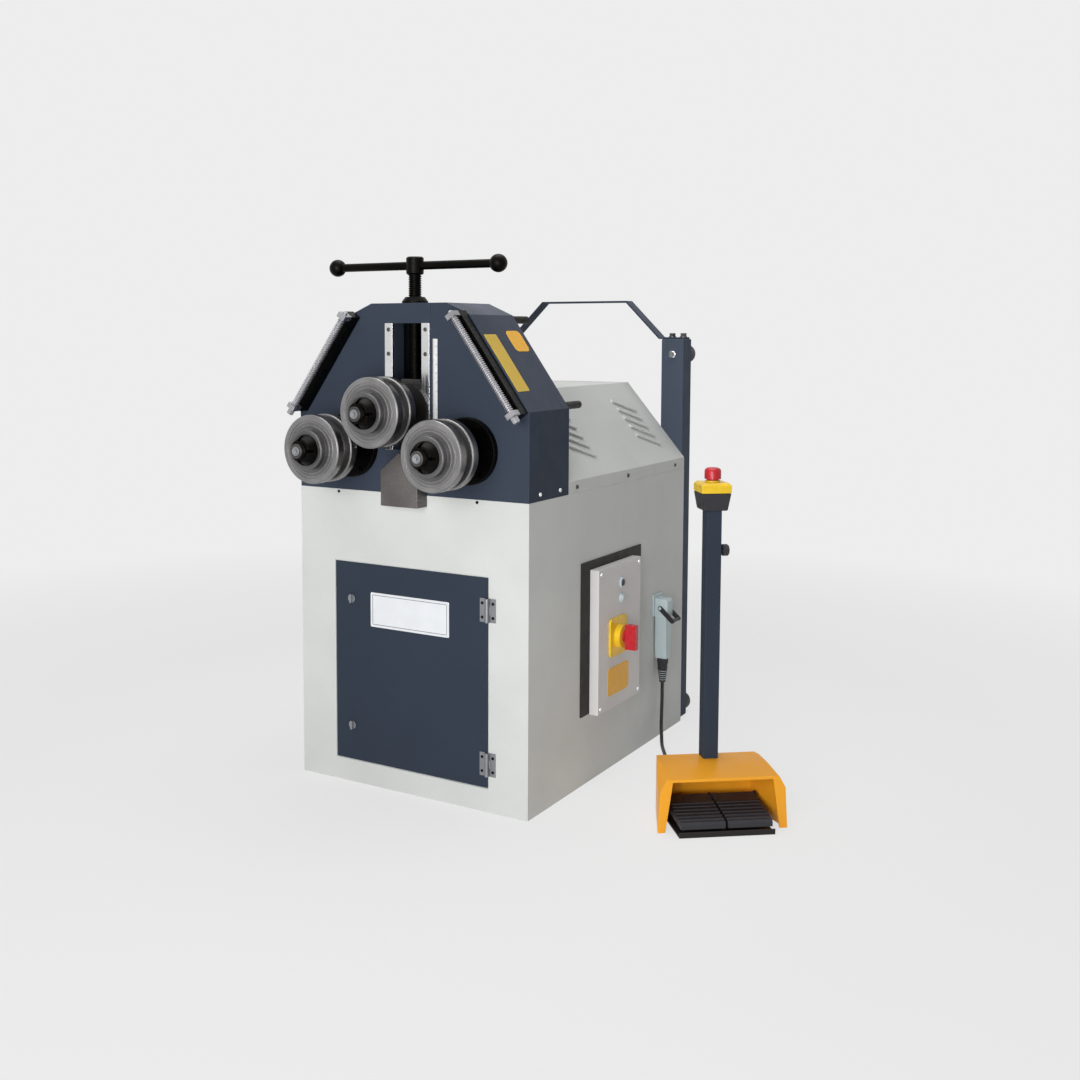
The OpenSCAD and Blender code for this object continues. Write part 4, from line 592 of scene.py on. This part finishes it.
def build_floor():
    mesh = bmesh.new()
    bmesh.ops.create_grid(mesh, x_segments=1, y_segments=1, size=floor_size / 2)
    data = bpy.data.meshes.new("floor")
    mesh.to_mesh(data)
    mesh.free()
    floor = bpy.data.objects.new("floor", data)
    floor.location = (0.0, 0.0, -floor_drop)
    scene.collection.objects.link(floor)
    material = bpy.data.materials.new("studio_floor")
    material.use_nodes = True
    tree = material.node_tree
    tree.nodes.clear()
    place = add_node(tree, "ShaderNodeTexCoord").outputs["Object"]
    far = vector_math(tree, "LENGTH", place).outputs["Value"]
    fade = spread(tree, far, near_glow, 1.0, fade_start, fade_end)
    seen = number_math(tree, "MULTIPLY", fade, backdrop_switch(tree))
    lit = add_node(tree, "ShaderNodeBsdfDiffuse", {"Color": grey(floor_albedo)})
    glow = add_node(tree, "ShaderNodeEmission", {"Color": grey(background)})
    mixed = add_node(tree, "ShaderNodeMixShader", {0: seen, 1: lit.outputs[0], 2: glow.outputs[0]})
    add_node(tree, "ShaderNodeOutputMaterial", {"Surface": mixed.outputs[0]})
    data.materials.append(material)


def build_world():
    world = bpy.data.worlds.new("studio")
    world.use_nodes = True
    tree = world.node_tree
    tree.nodes.clear()
    fill = add_node(tree, "ShaderNodeBackground", {"Color": grey(fill_level)})
    seen = add_node(tree, "ShaderNodeBackground", {"Color": grey(background)})
    shares = {0: backdrop_switch(tree), 1: fill.outputs[0], 2: seen.outputs[0]}
    mixed = add_node(tree, "ShaderNodeMixShader", shares)
    add_node(tree, "ShaderNodeOutputWorld", {"Surface": mixed.outputs[0]})
    scene.world = world


def area_light(name, place, target, size, power):
    data = bpy.data.lights.new(name, "AREA")
    data.shape = "SQUARE"
    data.size = size
    data.energy = power
    lamp = bpy.data.objects.new(name, data)
    lamp.location = place
    lamp.rotation_euler = (Vector(target) - Vector(place)).to_track_quat("-Z", "Y").to_euler()
    scene.collection.objects.link(lamp)


build_floor()
build_world()
for name, settings in studio_lights.items():
    area_light(name, **settings)


# Lateral guide screws: threaded rods with necks and a hexagon head
guide_thread_pitch = 0.005
guide_thread_depth = 0.0022
guide_neck_r = 0.005
guide_head_r = 0.009
guide_head_h = 0.014
guide_lug = 0.012
guide_gap = 0.0003
guide_tip = 0.006
guide_bevel = 0.001
guide_play = 0.0005


def along_axis(node, joint):
    """Lowest and highest place of a node's points along its joint's axis, from the joint's own point."""
    origin = Vector(joint["pos_m"])
    way = Vector(joint["axis"]).normalized()
    reach = [(vertex.co - origin).dot(way) for vertex in nodes[node].data.vertices]
    return min(reach), max(reach)


def guide_screw(side):
    node = side + "_guide_screw"
    joint = joints[node + "_turn"]
    low, high = along_axis(node, joint)
    place = facing(joint["pos_m"], joint["axis"])
    box_low, box_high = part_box(node)
    guide_r = (box_high.y - box_low.y) / 2 - guide_play
    neck_low = low + guide_head_h + guide_gap
    thread_low = neck_low + guide_lug + guide_gap
    thread_high = high - guide_tip - guide_lug - guide_gap
    mesh = bmesh.new()
    thread(mesh, guide_r, guide_thread_depth, guide_thread_pitch, thread_low, thread_high, place)
    spin(mesh, (
        (0.0, low), (guide_head_r * 0.85, low), (guide_head_r, low + guide_head_h * 0.12, 6),
        (guide_head_r, low + guide_head_h, 6), (guide_neck_r, low + guide_head_h),
        (guide_neck_r, thread_low), (0.0, thread_low),
    ), place, segments=24)
    spin(mesh, ((0.0, thread_high), (guide_neck_r, thread_high), (guide_neck_r, high - guide_bevel),
                (guide_neck_r - guide_bevel, high), (0.0, high)), place, segments=24)
    piece = new_piece(side + "_threaded_guide_screw", mesh, guide_steel, node)
    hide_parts(node)


for side in ("left", "right"):
    guide_screw(side)


# Spindle: foot, neck, thread and hub
spindle_pitch = 0.005
spindle_depth = 0.0020
spindle_r = 0.015
spindle_foot_r = 0.013
spindle_foot_h = 0.010
spindle_neck_r = 0.010
spindle_neck_h = 0.0086
hub_r = 0.020
hub_h = 0.040
hub_chamfer = 0.003


def threaded_spindle():
    low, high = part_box("spindle")
    place = Matrix.Translation(Vector(((low.x + high.x) / 2, (low.y + high.y) / 2, 0.0)))
    foot_top = low.z + spindle_foot_h
    neck_top = foot_top + spindle_neck_h
    hub_low = high.z - hub_h
    mesh = bmesh.new()
    thread(mesh, spindle_r, spindle_depth, spindle_pitch, neck_top, hub_low, place)
    spin(mesh, ((0.0, low.z), (spindle_foot_r, low.z), (spindle_foot_r, foot_top), (spindle_neck_r, foot_top),
                (spindle_neck_r, neck_top), (0.0, neck_top)), place)
    spin(mesh, ((0.0, hub_low), (hub_r - hub_chamfer, hub_low), (hub_r, hub_low + hub_chamfer),
                (hub_r, high.z - hub_chamfer), (hub_r - hub_chamfer, high.z), (0.0, high.z)), place)
    piece = new_piece("threaded_spindle", mesh, finishes["black_oxide"], "spindle")
    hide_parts("spindle")


threaded_spindle()


# Thread on the end of each roll shaft, in front of its nut
shaft_thread_r = 0.0174
shaft_thread_depth = 0.0008
shaft_thread_pitch = 0.002
shaft_tip_bare = 0.002
end_r = 0.0105
end_edge = 0.0012
end_proud = 0.0008
end_back = 0.005
centre_r = 0.003
centre_depth = 0.004

for body, shaft, nut in (
    ("upper_roll", "upper_shaft", "upper_roll_nut"),
    ("lower_left_roll", "lower_left_shaft", "lower_left_nut"),
    ("lower_right_roll", "lower_right_shaft", "lower_right_nut"),
):
    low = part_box(shaft)[0]
    nut_low, nut_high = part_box(nut)
    tip = Vector(((nut_low.x + nut_high.x) / 2, low.y, (nut_low.z + nut_high.z) / 2))
    mesh = bmesh.new()
    place = facing(tip, backward)
    thread_end = nut_low.y - low.y
    thread(mesh, shaft_thread_r, shaft_thread_depth, shaft_thread_pitch, shaft_tip_bare, thread_end, place)
    new_piece(shaft + "_thread", mesh, finishes["black_oxide"], body)
    end = bmesh.new()
    spin(end, (
        (0.0, centre_depth), (centre_r, 0.0), (end_r - end_edge, -end_proud), (end_r, end_edge - end_proud),
        (end_r, end_back), (0.0, end_back),
    ), place)
    # The end cap's lighter zinc finish is a painted highlight on the shaft tip
    new_piece(shaft + "_end", end, hinge_zinc, body)


# Scale rule: millimetre ticks and plain numbers
tick_proud = 0.00012
tick_w = 0.00022
tick_step = 0.001
tick_long = 0.0075
tick_middle = 0.0052
tick_short = 0.0032
number_step = 20
number_size = 0.0042
number_in = 0.0006
number_lift = 0.42


def rule_marks():
    low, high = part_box("scale_rule")
    front = low.y - tick_proud
    mesh = bmesh.new()
    count = int(round((high.z - low.z) / tick_step))
    for index in range(2, count - 1):
        reach = tick_short
        if index % 10 == 0:
            reach = tick_long
        elif index % 5 == 0:
            reach = tick_middle
        middle = Vector((low.x + reach / 2, front + tick_proud, low.z + index * tick_step))
        slab(mesh, facing(middle, forward), reach, tick_w, tick_proud, tick_w * corner_share, steps=1)
    depsgraph = bpy.context.evaluated_depsgraph_get()
    for index in range(number_step, count - 1, number_step):
        curve = bpy.data.curves.new("number", "FONT")
        curve.body = str(index // 10)
        curve.size = number_size
        curve.extrude = tick_proud / 2
        curve.align_x = "RIGHT"
        curve.align_y = "CENTER"
        text = bpy.data.objects.new("number", curve)
        scene.collection.objects.link(text)
        height = low.z + index * tick_step + number_size * number_lift
        text.location = (high.x - number_in, front + tick_proud / 2, height)
        text.rotation_euler = (math.pi / 2, 0.0, 0.0)
        bpy.context.view_layer.update()
        shape = bpy.data.meshes.new_from_object(text.evaluated_get(depsgraph))
        shape.transform(text.matrix_world)
        mesh.from_mesh(shape)
        bpy.data.objects.remove(text)
        bpy.data.meshes.remove(shape)
    bmesh.ops.remove_doubles(mesh, verts=mesh.verts[:], dist=weld_gap)
    new_piece("scale_marks", mesh, label_ink, "frame")


rule_marks()


# Screws that hold the strips, leaves, covers and plates
strip_low, strip_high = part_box("slide_guide_strips")
cabinet_low, cabinet_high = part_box("cabinet_shell")
front_y = cabinet_low.y
side_x = cabinet_high.x
cabinet_top = cabinet_high.z


def strip_screws():
    strip_w = 0.021
    shares = (0.06, 0.76, 0.95)
    head_r = 0.0048
    head_h = 0.0012
    mesh = bmesh.new()
    for side in (-1, 1):
        x = side * (strip_high.x - strip_w / 2)
        for share in shares:
            z = strip_low.z + share * (strip_high.z - strip_low.z)
            socket_screw(mesh, facing((x, strip_low.y, z), forward), head_r, head_h)
    new_piece("strip_screws", mesh, finishes["dark_steel"], "frame")


def hinge_screws():
    leaf_in = 0.0062
    leaf_t = 0.003
    hinge_h = 0.053
    spread_share = 0.30
    head_r = 0.0034
    head_h = 0.0014
    for node, body in (("frame_hinge_leaves", "frame"), ("door_hinge_leaves", "door")):
        low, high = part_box(node)
        x = high.x - leaf_in if body == "frame" else low.x + leaf_in
        mesh = bmesh.new()
        for middle in (low.z + hinge_h / 2, high.z - hinge_h / 2):
            for side in (-1, 1):
                z = middle + side * hinge_h * spread_share
                socket_screw(mesh, facing((x, front_y - leaf_t, z), forward), head_r, head_h)
        new_piece(node + "_screws", mesh, finishes["black_oxide"], body)


def body_screws():
    """Stands for the plain screw heads: button heads on the sheet, hexagon bolts on the posts and hoop.

    The hood's screws and the hoop's bolts are dark, the rest bright.
    """
    head_r = 0.005
    head_h = 0.003
    bolt_r = 0.009
    bolt_h = 0.006
    head_ys = (front_y + 0.048, front_y + 0.141)
    head_z = cabinet_top + 0.015
    skirt_ys = (-0.206, 0.070, 0.366)
    skirt_z = cabinet_top + 0.014
    mesh = bmesh.new()
    dark = bmesh.new()
    for side in (-1, 1):
        out = (side, 0.0, 0.0)
        for y in head_ys:
            socket_screw(mesh, facing((side * side_x, y, head_z), out), head_r, head_h)
        for y in skirt_ys:
            socket_screw(dark, facing((side * side_x, y, skirt_z), out), head_r, head_h)
    foot_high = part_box("rear_feet")[1]
    post_low, post_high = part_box("rear_posts")
    hoop_t = 0.005
    bolt_drop = 0.041
    hoop_bolt_xs = (-0.012, 0.020)
    hoop_bolt_h = 0.011
    foot_r = 0.025
    post_mid_x = foot_high.x - foot_r
    post_mid_y = (post_low.y + post_high.y) / 2
    for side in (-1, 1):
        x = side * post_mid_x
        hex_bolt(mesh, facing((x, post_low.y, post_high.z - bolt_drop), forward), bolt_r, bolt_h)
        for shift in hoop_bolt_xs:
            spot = (side * (post_mid_x + shift), post_mid_y, post_high.z + hoop_t)
            hex_bolt(dark, facing(spot, upward), bolt_r, hoop_bolt_h)
    cover_low, cover_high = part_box("panel_cover")
    cover_in = 0.012
    for y in (cover_low.y + cover_in, cover_high.y - cover_in):
        for z in (cover_low.z + cover_in, cover_high.z - cover_in):
            socket_screw(mesh, facing((cover_high.x, y, z), rightward), head_r, head_h)
    new_piece("dark_screws", dark, finishes["dark_steel"], "frame")
    piece = new_piece("detailed_screws", mesh, finishes["bright_steel"], "frame")
    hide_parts("bright_screws")


def front_screws():
    """Two small dark screws on the cabinet's front, just under the head."""
    xs = (-0.199, 0.182)
    drop = 0.006
    head_r = 0.0035
    head_h = 0.0018
    mesh = bmesh.new()
    for x in xs:
        socket_screw(mesh, facing((x, front_y, cabinet_top - drop), forward), head_r, head_h)
    new_piece("front_screws", mesh, finishes["black_oxide"], "frame")


strip_screws()
hinge_screws()
body_screws()
front_screws()


# Bare plates: door plate with a printed rim and rivets, two plain plates on the head and one on the panel
plate_t = 0.0008


def plate(name, place, width, height, corner, material, body):
    mesh = bmesh.new()
    slab(mesh, place, width, height, plate_t, corner)
    new_piece(name, mesh, material, body, round_width=plate_t * corner_share)


def door_plate():
    middle_z = 0.4225
    width = 0.217
    height = 0.081
    corner = 0.003
    place = facing((0.0, front_y, middle_z), forward)
    plate("door_plate", place, width, height, corner, label_white, "door")
    rim_in = 0.006
    rim_w = 0.0011
    rim_t = 0.00012
    rim_corner = rim_w * corner_share
    inner_h = height - 2 * rim_in - 2 * rim_w
    mesh = bmesh.new()
    for side in (-1, 1):
        across = Matrix.Translation(Vector((0.0, side * (height / 2 - rim_in), plate_t)))
        upright = Matrix.Translation(Vector((side * (width / 2 - rim_in), 0.0, plate_t)))
        slab(mesh, place @ across, width - 2 * rim_in, rim_w, rim_t, rim_corner, steps=1)
        slab(mesh, place @ upright, rim_w, inner_h, rim_t, rim_corner, steps=1)
    new_piece("door_plate_rim", mesh, label_ink, "door")
    rivet_in = 0.0032
    rivet_r = 0.0018
    rivet_h = 0.0010
    mesh = bmesh.new()
    for sx in (-1, 1):
        for sy in (-1, 1):
            spot = Vector((sx * (width / 2 - rivet_in), sy * (height / 2 - rivet_in), plate_t))
            spin(mesh, (
                (0.0, 0.0), (rivet_r, 0.0), (rivet_r * 0.92, rivet_h * 0.5), (rivet_r * 0.6, rivet_h * 0.9),
                (0.0, rivet_h),
            ), place @ Matrix.Translation(spot), segments=16)
    new_piece("door_plate_rivets", mesh, finishes["bright_steel"], "door")


def slope_place(along, y):
    """A frame on the head's right slope: along is the share of the way up, Z points out of the slope."""
    foot_up = 0.196
    shoulder_x = 0.165
    shoulder_up = 0.405
    foot = Vector((side_x, y, cabinet_top + foot_up))
    shoulder = Vector((shoulder_x, y, cabinet_top + shoulder_up))
    up = (shoulder - foot).normalized()
    out = Vector(backward).cross(up)
    if out.z < 0:
        out = -out
    side = up.cross(out)
    basis = Matrix((side, up, out)).transposed().to_4x4()
    return Matrix.Translation(foot.lerp(shoulder, along)) @ basis


door_plate()
panel_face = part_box("panel_cover")[1].x
long_place = slope_place(along=0.50, y=-0.400)
small_place = slope_place(along=0.72, y=-0.296)
panel_place = facing((panel_face, -0.031, 0.231), rightward)
for name, place, width, height, corner, material in (
    ("head_plate_long", long_place, 0.052, 0.150, 0.004, label_yellow),
    ("head_plate_small", small_place, 0.062, 0.056, 0.012, label_orange),
    ("panel_plate", panel_place, 0.068, 0.116, 0.010, label_orange),
):
    plate(name, place, width, height, corner, material, "frame")


# Screens just inside the louvres' mouths
def louvre_screens():
    ridge_x = 0.1435
    eave_up = 0.029
    ridge = Vector((ridge_x, 0.0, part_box("rear_hood")[1].z))
    eave = Vector((side_x, 0.0, cabinet_top + eave_up))
    tilt = math.radians(22.5)
    middles = (-0.089, 0.297)
    count = 5
    pitch = 0.028
    mouth = 0.006
    inset = 0.0012
    length = 0.0976
    low = -0.001
    high = 0.0047
    screen_t = 0.0006
    screen_corner = 0.0004
    down = (eave - ridge).normalized()
    back = Vector(backward)
    out = down.cross(back)
    way = down * math.cos(tilt) - back * math.sin(tilt)
    along = way.cross(out) * -1.0
    mesh = bmesh.new()
    for side in (-1, 1):
        mirror = Vector((side, 1.0, 1.0))
        basis = Matrix((along * mirror * side, out * mirror, way * mirror)).transposed().to_4x4()
        for y in middles:
            for index in range(count):
                run = (eave - ridge).length / 2 + (index - (count - 1) / 2) * pitch
                spot = ridge + down * run + back * y + way * (mouth - inset) + out * (low + high) / 2
                place = Matrix.Translation(spot * mirror) @ basis
                slab(mesh, place, length, high - low, screen_t, screen_corner, steps=1)
    new_piece("louvre_screens", mesh, finishes["cabinet_paint"], "frame")


louvre_screens()


# Panel lamps, emergency-stop button, column knob and plug gland
def lamps():
    low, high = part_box("panel_lamps")
    bezel_r = (high.y - low.y) / 2
    bezel_h = 0.004
    bezel_edge = 0.0012
    rim_r = bezel_r - 0.0030
    seat_r = bezel_r - 0.0032
    seat_h = 0.0022
    lens_r = bezel_r - 0.0034
    lens_low = 0.0024
    lens_side = 0.0042
    lens_h = 0.008
    y = (low.y + high.y) / 2
    bezel = bmesh.new()
    for name, z, glass in (
        ("lower_lamp", low.z + bezel_r, finishes["lamp_plastic"]),
        ("upper_lamp", high.z - bezel_r, dark_lens),
    ):
        place = facing((panel_face, y, z), rightward)
        spin(bezel, (
            (0.0, 0.0), (bezel_r, 0.0), (bezel_r, bezel_h - bezel_edge), (bezel_r - bezel_edge, bezel_h),
            (rim_r, bezel_h), (seat_r, seat_h), (0.0, seat_h),
        ), place)
        lens = bmesh.new()
        spin(lens, (
            (0.0, lens_low), (lens_r, lens_low), (lens_r, lens_side), (lens_r * 0.88, lens_h * 0.775),
            (lens_r * 0.6, lens_h * 0.9375), (lens_r * 0.25, lens_h), (0.0, lens_h),
        ), place)
        new_piece(name + "_lens", lens, glass, "frame")
    piece = new_piece("lamp_bezels", bezel, finishes["connector_alloy"], "frame")
    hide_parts("panel_lamps")


def stop_button():
    low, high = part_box("estop_button")
    radius = (high.x - low.x) / 2
    middle = Vector(((low.x + high.x) / 2, (low.y + high.y) / 2, 0.0))
    stem_r = 0.011
    cap_h = 0.022
    skirt_h = 0.0034
    skirt_r = 0.0166
    hem_in = 0.0006
    hem_edge = 0.0008
    dome = ((0.0, 0.62), (0.0008, 0.76), (0.0028, 0.88), (0.0062, 0.96))
    cap = high.z - cap_h
    hem = cap - skirt_h
    rings = [(0.0, low.z), (stem_r, low.z), (stem_r, cap), (skirt_r, cap), (skirt_r, hem)]
    rings += [(radius - hem_in, hem), (radius, hem + hem_edge)]
    rings += [(radius - inward, cap + cap_h * share) for inward, share in dome]
    rings += [(radius * 0.45, cap + cap_h * 0.99), (0.0, high.z)]
    mesh = bmesh.new()
    spin(mesh, rings, Matrix.Translation(middle), segments=64)
    piece = new_piece("stop_button_cap", mesh, finishes["red_plastic"], "estop_button")
    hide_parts("estop_button")


def fluted_knob():
    station_yaw = math.radians(38.5)
    out = Vector((math.cos(station_yaw), math.sin(station_yaw), 0.0))
    column_low, column_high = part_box("column")
    low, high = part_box("column_knob")
    middle = (column_low + column_high) / 2
    column_half = 0.017
    knob_r = (high.z - low.z) / 2
    neck_r = 0.005
    neck = 0.005
    head = 0.016
    top = neck + head
    flutes = -8
    lower_edge = 0.002
    upper_edge = 0.003
    rim_drop = 0.0006
    place = facing(Vector((middle.x, middle.y, (low.z + high.z) / 2)) + out * column_half, out)
    mesh = bmesh.new()
    spin(mesh, (
        (0.0, 0.0), (neck_r, 0.0), (neck_r, neck), (knob_r * 0.82, neck), (knob_r, neck + lower_edge, flutes),
        (knob_r, top - upper_edge, flutes), (knob_r * 0.86, top - rim_drop, flutes), (knob_r * 0.6, top),
        (0.0, neck + head * 0.96),
    ), place, segments=96)
    piece = new_piece("fluted_knob", mesh, finishes["black_plastic"], "frame")
    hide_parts("column_knob")


def plug_gland():
    """Black cable gland over the plug's tapered end: a hexagon nut and a ribbed sleeve down to the cable."""
    gland_h = 0.062
    tip_r = 0.007
    root_r = 0.012
    skin = 0.0003
    rib = 0.0009
    taper_h = 0.031
    nut_low = 0.047
    nut_r = 0.0155
    nut_edge = 0.0015
    hem = 0.002
    ribs = 8
    rib_shares = (0.10, 0.52, 0.62, 0.98)

    def cone_r(height):
        return tip_r + (root_r - tip_r) * min(max(height, 0.0) / taper_h, 1.0) + skin

    rings = [(cable_d / 2, -hem), (cone_r(0.0) + rib, -hem)]
    pitch = nut_low / ribs
    for index in range(ribs):
        low = index * pitch
        radii = (cone_r(low) + rib, cone_r(low) + rib, cone_r(low), cone_r(low + pitch))
        rings += [(radius, low + pitch * share) for radius, share in zip(radii, rib_shares)]
    rings += [(nut_r - nut_edge, nut_low), (nut_r, nut_low + nut_edge, 6), (nut_r, gland_h - nut_edge, 6),
              (nut_r - nut_edge, gland_h), (root_r - skin, gland_h), (cable_d / 2, -hem)]
    mesh = bmesh.new()
    spin(mesh, rings, Matrix.Translation(cable_start))
    bmesh.ops.remove_doubles(mesh, verts=mesh.verts[:], dist=weld_gap)
    new_piece("plug_gland", mesh, finishes["black_plastic"], "frame")


lamps()
stop_button()
fluted_knob()
plug_gland()
